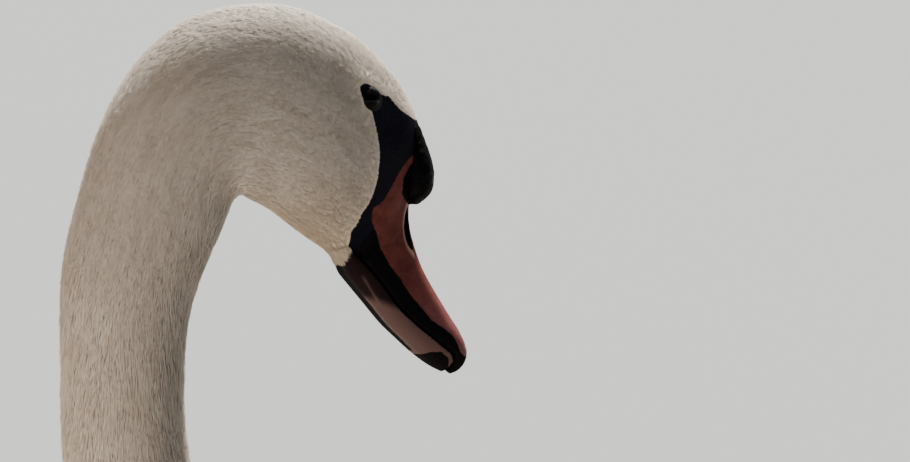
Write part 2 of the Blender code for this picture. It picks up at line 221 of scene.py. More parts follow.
def addPiece(name, mesh, *materials):
    made = bpy.data.objects.new(name, mesh)
    scene.collection.objects.link(made)
    for each in materials:
        mesh.materials.append(each)
    return made


# materials

def addNode(tree, kind, links=None, **settings):
    # a node with its plain settings, its input values and its input links
    made = tree.nodes.new(kind)
    for key, value in settings.items():
        setattr(made, key, value)
    for key, value in (links or {}).items():
        socket = made.inputs[key]
        if isinstance(value, bpy.types.NodeSocket):
            tree.links.new(value, socket)
        else:
            socket.default_value = value
    return made


def newMaterial(name, **shader):
    made = bpy.data.materials.new(name)
    made.use_nodes = True
    bsdf = made.node_tree.nodes["Principled BSDF"]
    for key, value in shader.items():
        bsdf.inputs[key.replace("_", " ")].default_value = value
    return made, made.node_tree, bsdf


def mark(tree, name):
    return addNode(tree, "ShaderNodeAttribute", attribute_name=name).outputs["Fac"]


def places(tree):
    return addNode(tree, "ShaderNodeTexCoord").outputs["Object"]


def mapped(tree, value, low, high, to=(0.0, 1.0), smooth=True):
    kind = "SMOOTHSTEP" if smooth else "LINEAR"
    links = {0: value, 1: low, 2: high, 3: to[0], 4: to[1]}
    return addNode(tree, "ShaderNodeMapRange", links, interpolation_type=kind).outputs[0]


def maths(tree, operation, a, b=0.0):
    return addNode(tree, "ShaderNodeMath", {0: a, 1: b}, operation=operation).outputs[0]


def weighed(tree, a, aShare, b, bShare):
    # the sum of two values, each by its share
    return maths(tree, "ADD", maths(tree, "MULTIPLY", a, aShare), maths(tree, "MULTIPLY", b, bShare))


def frayed(tree, here, scale, detail, reach):
    # a noise about nought that frays the edge between two finishes
    return maths(tree, "MULTIPLY", maths(tree, "SUBTRACT", noiseOf(tree, here, scale, detail), 0.5), reach)


def mixed(tree, share, a, b):
    made = addNode(tree, "ShaderNodeMix", data_type="RGBA")
    for i, value in ((0, share), (6, a), (7, b)):
        if isinstance(value, bpy.types.NodeSocket):
            tree.links.new(value, made.inputs[i])
        else:
            made.inputs[i].default_value = value if i == 0 else (*value, 1)
    return made.outputs[2]


def noiseOf(tree, vector, scale, detail=3.0, roughness=0.55):
    links = {"Vector": vector, "Scale": scale, "Detail": detail, "Roughness": roughness}
    return addNode(tree, "ShaderNodeTexNoise", links).outputs["Fac"]


def stretched(tree, vector, scale, turn=(0, 0, 0)):
    return addNode(tree, "ShaderNodeMapping", {"Vector": vector, "Scale": scale, "Rotation": turn}).outputs[0]


def bumped(tree, bsdf, height, strength, distance):
    made = addNode(tree, "ShaderNodeBump", {"Height": height, "Strength": strength, "Distance": distance})
    tree.links.new(made.outputs[0], bsdf.inputs["Normal"])


# the white and its darker tone are warm: partly the plumage's own cream, partly painted warm light that
# passes through the feathers
plumageLook = {
    "white": (0.75, 0.675, 0.59),
    "shadow": (0.66, 0.575, 0.485),
    "stain": (0.62, 0.44, 0.25),
    "throat": (crownX + 0.026, 0, 0.570),
    "throatReach": 0.055,
    "barbs": 2600.0,
    "tuftShadow": (0.52, 0.45, 0.37),
}


def plumageColour(tree):
    # white plumage, with tone from tuft to tuft, partly random and partly painted shade between the blades,
    # and the yellowish stain behind the bill
    here = places(tree)
    cloud = mapped(tree, noiseOf(tree, here, 26), 0.35, 0.68)
    tone = maths(tree, "MULTIPLY_ADD", mark(tree, "tone"), 0.5)
    tone.node.inputs[2].default_value = 0.5
    colour = mixed(tree, maths(tree, "MULTIPLY", cloud, 0.45), plumageLook["white"], plumageLook["shadow"])
    # painted shade: the tone mark, random from tuft to tuft and mostly darker from blade to blade, darkens
    # the white towards the tuft shadow
    low = mapped(tree, tone, -1.0, 1.0, (0.85, 0.0), False)
    colour = mixed(tree, low, colour, plumageLook["tuftShadow"])
    reach = addNode(tree, "ShaderNodeVectorMath", {0: here, 1: plumageLook["throat"]}, operation="DISTANCE")
    near = mapped(tree, reach.outputs["Value"], 0.010, plumageLook["throatReach"], (0.42, 0.0))
    return mixed(tree, near, colour, plumageLook["stain"])


def barbRelief(tree):
    # each long feather has its shaft and slanting barbs, by its own measures across and along in metres
    vane = addNode(tree, "ShaderNodeAttribute", attribute_name="vane").outputs["Vector"]
    parts = addNode(tree, "ShaderNodeSeparateXYZ", {0: vane}).outputs
    aside = maths(tree, "ABSOLUTE", parts[0])
    run = maths(tree, "ADD", maths(tree, "MULTIPLY", aside, -1.1), parts[1])
    ripple = maths(tree, "MULTIPLY", noiseOf(tree, places(tree), 120, 2), 0.004)
    barbs = maths(tree, "MULTIPLY", maths(tree, "ADD", run, ripple), plumageLook["barbs"])
    barbs = maths(tree, "SINE", barbs)
    shaft = mapped(tree, aside, 0.0004, 0.0012, (1.0, 0.0))
    return maths(tree, "ADD", maths(tree, "MULTIPLY", barbs, 0.22), shaft)


def plumageMaterial():
    made, tree, bsdf = newMaterial("plumage", Roughness=0.62, Sheen_Weight=0.25, Sheen_Roughness=0.4,
                                   Specular_IOR_Level=0.3, Subsurface_Weight=0.25,
                                   Subsurface_Radius=(0.004, 0.003, 0.002))
    tree.links.new(plumageColour(tree), bsdf.inputs["Base Color"])
    bumped(tree, bsdf, barbRelief(tree), 0.35, 0.0007)
    return made


# the rim tone is a painted highlight along the raised rim below the nostril
hornLook = {
    "orange": (0.165, 0.044, 0.036), "orangeDark": (0.108, 0.028, 0.026), "orangePink": (0.27, 0.110, 0.120),
    "under": (0.125, 0.074, 0.070), "amber": (0.075, 0.030, 0.012), "smoky": (0.009, 0.003, 0.005),
    "rimAndHighlight": (0.70, 0.46, 0.36), "black": (0.003, 0.0022, 0.0028),
}


def hornOrange(tree):
    # orange-red horn, pinker towards the tip
    blotch = mapped(tree, noiseOf(tree, places(tree), 170, 4), 0.35, 0.7)
    orange = mixed(tree, blotch, hornLook["orange"], hornLook["orangeDark"])
    tip = mapped(tree, mark(tree, "along"), 0.30, 0.9, (0.0, 0.65))
    return mixed(tree, tip, orange, hornLook["orangePink"])


def hornMaterial():
    made, tree, bsdf = newMaterial("horn", Roughness=0.4, Specular_IOR_Level=0.09)
    here = places(tree)
    # the mark along runs to 1 on the upper bill, is 2 on the lower one and 3 on its amber edge
    fray = frayed(tree, here, 330, 4, 1.1)
    black = maths(tree, "ADD", mark(tree, "black"), fray)
    lore = mapped(tree, maths(tree, "ADD", mark(tree, "horn"), fray), -0.3, 0.5, (1.0, 0.0))
    black = maths(tree, "MAXIMUM", mapped(tree, black, 0.42, 0.62), lore)
    horn = mixed(tree, mapped(tree, mark(tree, "along"), 1.05, 1.5), hornOrange(tree), hornLook["under"])
    horn = mixed(tree, mapped(tree, mark(tree, "along"), 2.1, 2.9), horn, hornLook["amber"])
    smoky = mixed(tree, mapped(tree, mark(tree, "dark"), 0.1, 0.9, (0.0, 0.96)), horn, hornLook["smoky"])
    # painted highlight: the pale line along the nostril's raised rim
    withRimHighlight = mixed(tree, maths(tree, "MULTIPLY", mark(tree, "rimAndHighlight"), 0.75), smoky, hornLook["rimAndHighlight"])
    tree.links.new(mixed(tree, black, withRimHighlight, hornLook["black"]), bsdf.inputs["Base Color"])
    grain = noiseOf(tree, stretched(tree, here, (500, 900, 500), (0, 0.9, 0)), 1, 3)
    pores = noiseOf(tree, here, 1500, 2)
    dull = maths(tree, "MAXIMUM", black, mapped(tree, mark(tree, "dark"), 0.2, 0.9, (0.0, 0.8)))
    rough = maths(tree, "MULTIPLY_ADD", dull, 0.42)
    tree.links.new(mapped(tree, grain, 0.3, 0.7, (0.34, 0.50)), rough.node.inputs[2])
    tree.links.new(rough, bsdf.inputs["Roughness"])
    bumped(tree, bsdf, weighed(tree, grain, 0.7, pores, 0.3), 0.35, 0.0004)
    return made


blackLooks = {  # low and high tone, roughness, gloss, size of the scales and depth of their relief
    "horn_black": ((0.012, 0.010, 0.011), (0.030, 0.022, 0.020), 0.34, 0.35, 300, 0.0002),
    "knob_black": ((0.0010, 0.0008, 0.0010), (0.0035, 0.0026, 0.0028), 0.50, 0.07, 520, 0.0004),
    "foot_black": ((0.018, 0.018, 0.019), (0.050, 0.047, 0.045), 0.52, 0.3, 330, 0.0009),
}


def blackMaterial(name):
    # the leathery black skin of knob, feet and claws, in small rounded scales
    low, high, rough, gloss, scale, depth = blackLooks[name]
    made, tree, bsdf = newMaterial(name, Roughness=rough, Specular_IOR_Level=gloss)
    here = places(tree)
    scales = addNode(tree, "ShaderNodeTexVoronoi", {"Vector": here, "Scale": scale}, feature="SMOOTH_F1")
    scales = scales.outputs["Distance"]
    fine = noiseOf(tree, here, scale * 2.3, 4, 0.6)
    tree.links.new(mixed(tree, mapped(tree, fine, 0.3, 0.75), low, high), bsdf.inputs["Base Color"])
    tree.links.new(mapped(tree, scales, 0.1, 0.6, (rough - 0.08, rough + 0.12)), bsdf.inputs["Roughness"])
    bumped(tree, bsdf, weighed(tree, scales, -0.8, fine, 0.4), 0.6, depth)
    return made


eyeLook = {
    "iris": (0.006, 0.003, 0.002), "irisDark": (0.003, 0.002, 0.0015), "pupil": (0.001, 0.001, 0.001),
    "outside": (0.008, 0.006, 0.006),
    "pupilEdge": (0.36, 0.42), "irisEdge": (0.80, 0.90),  # angles from the eye's pole
}


def eyeMaterial():
    made, tree, bsdf = newMaterial("eye", Roughness=0.13, Specular_IOR_Level=0.12)
    turn = mark(tree, "turn")
    streaks = noiseOf(tree, stretched(tree, places(tree), (1, 1, 1)), 1500, 3)
    iris = mixed(tree, mapped(tree, streaks, 0.3, 0.7), eyeLook["iris"], eyeLook["irisDark"])
    inner = mixed(tree, mapped(tree, turn, *eyeLook["pupilEdge"]), eyeLook["pupil"], iris)
    whole = mixed(tree, mapped(tree, turn, *eyeLook["irisEdge"]), inner, eyeLook["outside"])
    tree.links.new(whole, bsdf.inputs["Base Color"])
    return made


# the bare skin before the eye is black; its blue cast and the paler blue patches are painted sheen
faceLook = {
    # the lid tone is a painted highlight on the lid's edge
    "black": (0.0008, 0.0006, 0.0042), "bluishSheen": (0.0030, 0.0030, 0.0150), "lid": (0.30, 0.27, 0.25),
}


def skinMaterial():
    # white down under the coat, bare black skin before the eye with painted bluish sheen, a painted
    # highlight on the lid's edge, and horn where the bill's colour runs up over it
    made, tree, bsdf = newMaterial("skin", Roughness=0.6, Specular_IOR_Level=0.10)
    here = places(tree)
    fray = frayed(tree, here, 900, 2, 1.6)
    bare = mapped(tree, maths(tree, "ADD", mark(tree, "bare"), fray), -0.25, 0.25)
    creases = noiseOf(tree, stretched(tree, here, (1, 1, 1)), 420, 4, 0.65)
    # painted sheen: paler blue patches over the black, by noise
    black = mixed(tree, mapped(tree, creases, 0.3, 0.8), faceLook["black"], faceLook["bluishSheen"])
    # painted highlight: the pale edge of the lid, on its side towards the bill
    black = mixed(tree, mark(tree, "rimAndHighlight"), black, faceLook["lid"])
    overHorn = mapped(tree, maths(tree, "ADD", mark(tree, "horn"), fray), -0.3, 0.5)
    black = mixed(tree, overHorn, black, hornOrange(tree))
    tree.links.new(mixed(tree, bare, plumageColour(tree), black), bsdf.inputs["Base Color"])
    tree.links.new(mapped(tree, bare, 0, 1, (0.7, 0.46), False), bsdf.inputs["Roughness"])
    unwrap = addNode(tree, "ShaderNodeUVMap", uv_map="unwrap").outputs[0]
    barbs = noiseOf(tree, stretched(tree, unwrap, (700, 160, 1)), 1, 3)
    bumped(tree, bsdf, weighed(tree, barbs, 0.4, creases, 0.5), 0.5, 0.0006)
    return made


# the skin, one mesh from the tail's tip to the bill's root, inside the form by the depth of the coat

skinLook = {
    "round": 144,
    "stations": (0, 3, 11, 16, 21, 31),  # where the spacing of the rings changes
    "rings": (16, 60, 60, 50, 130),  # rings between those stations
    "depthAt": (0, 3, 5, 10, 12, 15, 20, 24, 29, 31),  # the coat's depth by station
    "depth": (0.003, 0.0045, 0.006, 0.006, 0.0052, 0.0030, 0.0018, 0.0012, 0.0010, 0.0009),
}
loreEdge = [  # the feather edge round the bare face, seen from the side: (x, z) from the crown
    (0.0900, 0.6300), (0.0783, 0.6313), (0.0724, 0.6345), (0.0671, 0.6381), (0.0621, 0.6434),
    (0.0550, 0.6454), (0.0525, 0.6488), (0.0468, 0.6508), (0.0434, 0.6491), (0.0462, 0.6400),
    (0.0506, 0.6361), (0.0534, 0.6246), (0.0545, 0.6169), (0.0541, 0.6092), (0.0532, 0.6014),
    (0.0517, 0.5963), (0.0503, 0.5922), (0.0481, 0.5881), (0.0454, 0.5846), (0.0434, 0.5794),
    (0.0404, 0.5753), (0.0404, 0.5707), (0.0400, 0.5656), (0.0406, 0.5622), (0.0424, 0.5592),
    (0.0424, 0.5565), (0.0300, 0.5555), (0.0300, 0.5300), (0.0900, 0.5300),
]
# the edge of the orange horn, from the knob down behind it and along the black cutting edge to the tip
hornEdge = [
    (0.0900, 0.6100), (0.0764, 0.6144), (0.0731, 0.6120), (0.0681, 0.6071), (0.0649, 0.6026),
    (0.0619, 0.5975), (0.0590, 0.5930), (0.0562, 0.5895), (0.0512, 0.5869), (0.0511, 0.5808),
    (0.0529, 0.5767), (0.0549, 0.5731), (0.0563, 0.5664), (0.0615, 0.5576), (0.0679, 0.5498),
    (0.0722, 0.5431), (0.0767, 0.5379), (0.0842, 0.5290), (0.0923, 0.5237), (0.0960, 0.5205),
    (0.0994, 0.5157), (0.1010, 0.5119), (0.1038, 0.5096), (0.1075, 0.5095), (0.1200, 0.5200),
    (0.1300, 0.6100),
]
eyeAt = Vector((crownX + 0.0492, 0.0163, 0.6418))
eyeSize = 0.0075


def edgeDistance(points, outline):
    # signed distance, in mm, from points (x, z) to a closed outline, positive inside
    corners = np.array(outline) + (crownX, 0)
    nearest = np.full(points.shape[:-1], 1e9)
    inside = np.zeros(points.shape[:-1], bool)
    px, pz = points[..., 0], points[..., 1]
    for a, b in zip(corners, np.roll(corners, -1, 0)):
        run = b - a
        share = np.clip(((points - a) @ run) / (run @ run), 0, 1)
        nearest = np.minimum(nearest, np.linalg.norm(points - a - share[..., None] * run, axis=-1))
        crosses = (a[1] > pz) != (b[1] > pz)
        inside ^= crosses & (px < (b[0] - a[0]) * (pz - a[1]) / (b[1] - a[1] + 1e-12) + a[0])
    return np.where(inside, nearest, -nearest) * 1000


def stationOf(t):
    return np.interp(t, formKnots, np.arange(len(formKnots)))


def skinPlaces():
    parts = []
    for first, last, count in zip(skinLook["stations"], skinLook["stations"][1:], skinLook["rings"]):
        parts.append(np.linspace(formKnots[first], formKnots[last], count, endpoint=False))
    return np.concatenate([*parts, [formKnots[-1]]])


faceShapes = [  # soft rises and hollows of the face: (x, z) from the crown, reach, height
    (0.020, 0.612, 0.020, 0.0010),  # cheek
    (0.047, 0.6540, 0.0060, 0.0009),  # brow
    (0.056, 0.6490, 0.0060, 0.0006),
    (0.0385, 0.6480, 0.0042, -0.0006),  # crease behind the eye
    (0.0340, 0.6555, 0.0042, -0.0006),
    (0.0630, 0.6300, 0.0100, -0.0010),  # hollow before the eye
    (0.0300, 0.5760, 0.0080, 0.0006),  # corner of the mouth
]


def faceRise(points):
    rise = np.zeros(points.shape[:-1])
    for x, z, reach, height in faceShapes:
        apart = (points[..., 0] - crownX - x) ** 2 + (points[..., 2] - z) ** 2
        rise += height * np.exp(-apart / reach ** 2)
    return rise * smoothStep(0.004, 0.014, np.abs(points[..., 1]))


def formSurface(t, angles):
    # the outer form with its face, and the skin under the coat, with the marks that both share
    outer = formPoints(t, angles)
    normals = gridNormals(outer)
    bare = edgeDistance(outer[..., [0, 2]], loreEdge)
    horn = edgeDistance(outer[..., [0, 2]], hornEdge)
    station = np.repeat(stationOf(t)[:, None], len(angles), 1)
    depth = np.interp(station, skinLook["depthAt"], skinLook["depth"])
    depth = depth * (0.12 + 0.88 * smoothStep(0.0, 11.0, -bare))
    outer = outer + normals * faceRise(outer)[..., None]
    skin = outer - normals * depth[..., None]
    flow = unit(-np.gradient(outer, axis=0))
    return {"outer": outer, "skin": skin, "normals": normals, "bare": bare, "horn": horn, "station": station,
            "flow": flow, "depth": depth}


surface = formSurface(skinPlaces(), fullTurn(skinLook["round"]))
print("form laid out", surface["skin"].shape)


def eyeFrame(side):
    # the eye's outward axis, its long axis towards the bill and its short axis
    out = Vector((0.16, side, 0.10)).normalized()
    long = Vector((0.62, 0, -0.78))
    long = (long - out * long.dot(out)).normalized()
    return out, long, out.cross(long)


lidLook = {
    "round": 72, "across": 9,
    "long": 0.0054, "short": 0.0043, "corner": 0.0013,  # half sizes of the opening and its pointed corner
    "flare": 0.0030,  # how far the lid reaches out under the skin
    "clear": 0.00015, "roll": 0.0009,  # room between lid and ball, height of the lid's roll
    "sink": 0.0012, "turnIn": 0.0006,  # depth of the outer and of the inner edge
}


def lidPoints(side):
    # rings from under the skin over the lid's roll to the opening, on the eye's ball
    look = lidLook
    out, long, short = eyeFrame(side)
    centre = Vector((eyeAt.x, side * eyeAt.y, eyeAt.z))
    rings = []
    for j in range(look["across"]):
        share = j / (look["across"] - 1)
        ring = []
        for k in range(look["round"]):
            turn = 2 * math.pi * k / look["round"]
            pinch = max(0.0, -math.cos(turn)) ** 10  # the pointed corner, away from the bill
            reach = look["long"] * look["short"] / math.hypot(
                look["short"] * math.cos(turn), look["long"] * math.sin(turn))
            reach += look["corner"] * pinch
            reach += (1 - share) * look["flare"]
            arch = math.sin(math.pi * min(1.0, share * 1.05)) ** 1.5
            swell = look["clear"] + look["roll"] * arch * (1 - 0.25 * share)
            swell -= look["sink"] * (1 - share) ** 2
            around = long * math.cos(turn) + short * math.sin(turn)
            angle = math.asin(min(0.98, reach / eyeSize))
            radius = eyeSize + swell
            ring.append(centre + (out * math.cos(angle) + around * math.sin(angle)) * radius)
        rings.append(ring)
    deep = eyeSize - look["turnIn"]
    inner = [centre + (p - centre) * (deep / (p - centre).length) for p in rings[-1]]
    rings.append(inner)
    return np.array([[list(p) for p in ring] for ring in rings])


def joined(name, meshes):
    # one plain mesh of several, keeping their marks and unwraps
    parts = [bpy.data.objects.new(name + "Part", mesh) for mesh in meshes]
    for part in parts:
        scene.collection.objects.link(part)
    chosenParts = {"active_object": parts[0], "selected_editable_objects": parts, "selected_objects": parts}
    with bpy.context.temp_override(**chosenParts):
        bpy.ops.object.join()
    mesh = parts[0].data
    bpy.data.objects.remove(parts[0])
    mesh.name = name
    return mesh


# the folded wings: an arch over the back, open below, seen as sections across it
# x from the crown, height of the top, half width, height of the widest level, thickness,
# upper and lower edge in degrees

wingRows = np.array([
    (-0.028, 0.250, 0.128, 0.160, 0.050, 52, 78),
    (-0.050, 0.272, 0.148, 0.158, 0.060, 40, 96),
    (-0.100, 0.293, 0.167, 0.155, 0.060, 24, 108),
    (-0.180, 0.306, 0.178, 0.152, 0.060, 11, 112),
    (-0.270, 0.308, 0.176, 0.152, 0.060, 5, 112),
    (-0.360, 0.298, 0.160, 0.156, 0.050, 3, 110),
    (-0.450, 0.276, 0.130, 0.168, 0.036, 3, 106),
    (-0.530, 0.250, 0.094, 0.186, 0.020, 5, 100),
    (-0.590, 0.231, 0.058, 0.200, 0.010, 12, 92),
    (-0.625, 0.222, 0.030, 0.208, 0.005, 30, 78),
])
wingAt = smoothCurve(-wingRows[:, 0], wingRows)
wingLook = {"rings": 120, "around": 60, "inset": 0.006, "bed": 0.0045}


def wingPoints(side, back, share, inset):
    # points of one wing's outer face: back from the crown, share from its upper to its lower edge;
    # below nought they go on over the shoulder feathers, nearly to the middle of the back at minus one
    row = wingAt(back)
    free = np.maximum(0, row[:, 5] - 3)
    angle = np.radians(row[:, 5] + np.where(share < 0, free, row[:, 6] - row[:, 5]) * share)
    rise, out = np.cos(angle), np.sin(angle)
    tall = np.where(rise > 0, 1.0, 0.9) * (row[:, 1] - row[:, 3])
    deep = np.minimum(0.90 * row[:, 4], 0.0018 * free)
    inset = np.minimum(inset, 0.6 * row[:, 4]) + deep * smoothStep(-0.1, 1.1, -share)
    y = side * (row[:, 2] - inset) * out
    z = row[:, 3] + (tall - inset) * rise
    return np.stack([crownX + row[:, 0], y, z], -1)


def wingGrid(side, back, share, inset):
    both = np.meshgrid(back, share, indexing="ij")
    return wingPoints(side, both[0].ravel(), both[1].ravel(), inset).reshape(len(back), len(share), 3)


def wingCore(side):
    # the arm and the quills' bases as one shell, joined into the skin
    back = np.linspace(0.034, 0.560, wingLook["rings"])
    share = np.linspace(0.02, 0.98, wingLook["around"])
    outer = wingGrid(side, back, share, wingLook["inset"])
    thick = wingAt(back)[:, 4][:, None] * (1 - np.abs(2 * share - 1) ** 3)[None]
    middle = outer.mean(axis=1, keepdims=True)
    middle[..., 1] = 0
    middle[..., 2] = wingAt(back)[:, 3][:, None]
    inner = outer + unit(middle - outer) * (0.003 + 0.75 * thick)[..., None]
    grid = np.concatenate([outer, inner[:, ::-1]], 1)
    level = np.zeros(grid.shape[:2])
    marks = {"bare": level - 9, "horn": level - 9, "rimAndHighlight": level, "along": level}
    return gridMesh("wingCore", grid, marks=marks, flip=side > 0)


def makeSkin(material):
    level = 0 * surface["bare"]
    marks = {"bare": surface["bare"], "horn": surface["horn"], "rimAndHighlight": level, "along": level}
    body = gridMesh("skinBody", surface["skin"], marks=marks)
    lids = []
    for side in (1, -1):
        points = lidPoints(side)
        level = np.zeros(points.shape[:2])
        turn = fullTurn(points.shape[1])
        row = np.arange(len(points))[:, None] / (lidLook["across"] - 1)
        # painted highlight: a pale arc along the lid's edge, on the side towards the bill
        rimAndHighlight = hump(row, 0.93, 0.09) * smoothStep(-0.2, 0.7, np.cos(turn))[None]
        full = {"bare": level + 9, "horn": level - 9, "rimAndHighlight": rimAndHighlight * 0.14, "along": level}
        lids.append(gridMesh("lid", points, caps=(False, False), marks=full, flip=True))
    return addPiece("skin", joined("skin", [body, *lids, wingCore(1), wingCore(-1)]), material)


# the bill: each row is the culmen (x, z), the cutting edge (x, z) and the half width there

upperRows = np.array([
    (0.0830, 0.6215, 0.0430, 0.5650, 0.0168),
    (0.0790, 0.6020, 0.0480, 0.5597, 0.0173),
    (0.0764, 0.5870, 0.0530, 0.5540, 0.0174),
    (0.0769, 0.5754, 0.0581, 0.5483, 0.0170),
    (0.0786, 0.5685, 0.0620, 0.5430, 0.0166),
    (0.0822, 0.5579, 0.0670, 0.5365, 0.0163),
    (0.0876, 0.5470, 0.0743, 0.5297, 0.0162),
    (0.0926, 0.5385, 0.0805, 0.5246, 0.0163),
    (0.0981, 0.5297, 0.0870, 0.5198, 0.0158),
    (0.1037, 0.5208, 0.0934, 0.5152, 0.0144),
    (0.1067, 0.5125, 0.0976, 0.5118, 0.0122),
    (0.1062, 0.5072, 0.0996, 0.5088, 0.0098),
    (0.1035, 0.5028, 0.0996, 0.5056, 0.0070),
    (0.0992, 0.5004, 0.0974, 0.5022, 0.0030),
])
lowerRows = np.array([  # the chin (x, z), the cutting edge (x, z) and the half width there
    (0.0345, 0.5606, 0.0424, 0.5644, 0.0160),
    (0.0400, 0.5538, 0.0474, 0.5591, 0.0164),
    (0.0492, 0.5428, 0.0575, 0.5477, 0.0164),
    (0.0575, 0.5330, 0.0664, 0.5359, 0.0160),
    (0.0640, 0.5254, 0.0735, 0.5291, 0.0158),
    (0.0708, 0.5190, 0.0797, 0.5239, 0.0157),
    (0.0776, 0.5128, 0.0862, 0.5190, 0.0152),
    (0.0840, 0.5076, 0.0924, 0.5144, 0.0136),
    (0.0894, 0.5040, 0.0966, 0.5110, 0.0110),
    (0.0942, 0.5016, 0.0988, 0.5072, 0.0076),
])
for table in (upperRows, lowerRows):
    table[:, [0, 2]] += crownX

billLook = {
    "along": 270, "tip": 60, "over": 72, "under": 18, "nailFrom": 0.862, "lowerAlong": 220, "lowerRound": 60,
    "blend": 0.16,  # share of the length over which the bill takes on its own section
    "teeth": 62, "toothDepth": 0.00055, "toothFrom": 0.52, "toothTo": 0.925,
    "nostril": (0.285, 0.86, 0.075, 0.075),  # along, rise, half length, half height
    "nostrilDepth": 0.0022, "rimHeight": 0.0004,
    "hollowDepth": 0.0011,  # of the bill's flanks
    "wrinkles": 260, "wrinkleHeight": 0.00010,
    "lip": 0.0012,  # how far the inner face stands in from the outer one
    "palateRise": 0.25,
    "knobSkin": (0.0815, 0.5985, 0.0128, 0.0125),  # black foot of the knob: x, z, half width, half height
    "chinHollow": 0.0007, "chinBars": 0.0003,
}


def billGrid(rows, up, out):
    # points between the cutting edge and the culmen: up is the share of the way, out the distance aside
    points = np.zeros(np.broadcast_shapes(up.shape, out.shape) + (3,))
    for axis, edge, culmen in ((0, 2, 0), (2, 3, 1)):
        points[..., axis] = rows[:, edge][:, None] + (rows[:, culmen] - rows[:, edge])[:, None] * up
    points[..., 1] = out
    return points


def teethAlong(s):
    # the comb along the cutting edges, each tooth rising from nought to one
    return np.abs((s * billLook["teeth"]) % 1 - 0.5) * 2


def upperBill(s, over):
    # the upper half over its dome, from the left edge to the right
    rows = rowsAlong(upperRows, s)
    full = np.interp(s, (0, 0.25, 0.6, 1), (0.95, 0.98, 0.80, 0.72))[:, None]
    up = np.sin(over)[None] ** full
    points = billGrid(rows, up, rows[:, 4][:, None] * signedPower(np.cos(over)[None], full))
    return points, up, rows


def makeUpperBill(name, material, first, last, count, swell=0.0):
    # the upper half from one share of its length to another
    look = billLook
    s = np.linspace(first, last, count)
    over = np.linspace(0, math.pi, look["over"])
    points, up, rows = upperBill(s, over)
    around = np.linspace(0, 2 * math.pi, 721)
    root = formSurface(np.array([formKnots[-1] - 1e-4, formKnots[-1]]), around)["skin"][-1]
    edgeTurn = 0.82 * math.pi  # where the cutting edge meets the root's section
    turns = np.interp(over, (0, math.pi / 2, math.pi), (edgeTurn, 0, -edgeTurn)) % (2 * math.pi)
    start = np.stack([np.interp(turns, around, root[:, i]) for i in range(3)], -1)
    share = smoothStep(0, look["blend"], s)[:, None, None]
    shift = points[0][None] - start[None]
    points = points - shift * (1 - share)
    normals = gridNormals(points, around=False)
    normals *= np.sign(normals[len(s) // 2, len(over) // 2, 0])
    points += normals * swell * smoothStep(first, first + 0.02, s)[:, None, None]
    x0, h0, halfLong, halfHigh = look["nostril"]
    slit = ((s[:, None] - x0) / halfLong) ** 2 + ((up - h0) / halfHigh) ** 2
    sides = np.abs(np.cos(over))[None] > 0.12
    dent = hump(slit, 0, 1) * sides
    # the raised rim below the nostril; as a mark it also carries the painted highlight along it
    rimAndHighlight = hump(slit, 1.9, 0.8) * (up < h0) * sides
    wrinkle = np.array([[noise.noise(Vector(p) * look["wrinkles"]) for p in row] for row in points])
    hollow = look["hollowDepth"] * hump(up, 0.55, 0.22) * smoothStep(0.05, 0.2, s)[:, None]
    hollow *= 1 - smoothStep(0.55, 0.8, s)[:, None]
    relief = look["rimHeight"] * rimAndHighlight - look["nostrilDepth"] * dent - hollow + look["wrinkleHeight"] * wrinkle
    points += normals * relief[..., None]
    tooth = teethAlong(s)
    tooth *= smoothStep(look["toothFrom"], look["toothFrom"] + 0.06, s) * (s < look["toothTo"])
    edge = hump(np.minimum(over, math.pi - over), 0, 0.10)
    down = unit(np.stack([rows[:, 2] - rows[:, 0], 0 * s, rows[:, 3] - rows[:, 1]], -1))
    points += down[:, None] * (look["toothDepth"] * tooth[:, None] * edge[None])[..., None]
    across = np.linspace(-1, 1, look["under"] + 2)[1:-1]
    lift = look["palateRise"] * (1 - across ** 2)[None]
    palate = billGrid(rows, lift, (rows[:, 4] - look["lip"])[:, None] * across[None])
    nostrilBlack = smoothStep(1.9, 1.2, slit) * sides
    culmen = smoothStep(0.34, 0.28, s)[:, None] * smoothStep(0.93, 0.97, up)
    x, z, wide, high = look["knobSkin"]
    knobSkin = ((points[..., 0] - crownX - x) / wide) ** 2 + ((points[..., 2] - z) / high) ** 2
    black = np.maximum.reduce([nostrilBlack, culmen, smoothStep(1.08, 0.95, knobSkin)])
    gape = np.zeros_like(palate[..., 0])
    marks = {
        "black": np.concatenate([black, gape + 1], 1),
        "rimAndHighlight": np.concatenate([rimAndHighlight, gape], 1),
        "along": np.concatenate([np.repeat(s[:, None], len(over), 1), gape + s[:, None]], 1),
        "horn": np.concatenate([edgeDistance(points[..., [0, 2]], hornEdge), gape - 9], 1),
        "dark": np.concatenate([0 * rimAndHighlight, gape + 1], 1),
    }
    grid = np.concatenate([points, palate], 1)
    return addPiece(name, gridMesh(name, grid, marks=marks, flip=True), material)


def lowerBill(s, under):
    # the lower half round its underside, from the left edge to the right
    rows = rowsAlong(lowerRows, s)
    grown = smoothStep(0.0, 0.14, s)[:, None]  # the root is slighter, under the chin's feathers
    edge = rows[:, 2:4]
    chin = edge + (rows[:, :2] - edge) * (0.70 + 0.30 * grown)
    rows[:, 4:] *= 0.85 + 0.15 * grown
    down = np.sin(under)[None] ** 0.80
    out = signedPower(np.cos(under)[None], 0.80)
    points = np.zeros((len(s), len(under), 3))
    points[..., [0, 2]] = edge[:, None] + (chin - edge)[:, None] * down[..., None]
    points[..., 1] = rows[:, 4][:, None] * out
    inward = np.stack([edge[:, 0] - chin[:, 0], 0 * s, edge[:, 1] - chin[:, 1]], -1)
    inward = unit(inward)[:, None]
    # the skin of the chin lies a little hollow between two raised side bars
    y = points[..., 1] / rows[:, 4][:, None]
    hollow = hump(y, 0, 0.36) * (down > 0.5) * smoothStep(0.82, 0.62, s)[:, None]
    bars = hump(np.abs(y), 0.60, 0.14) * (down > 0.3) * smoothStep(0.9, 0.8, s)[:, None]
    points += inward * (billLook["chinHollow"] * hollow - billLook["chinBars"] * bars)[..., None]
    return points, rows, inward, down


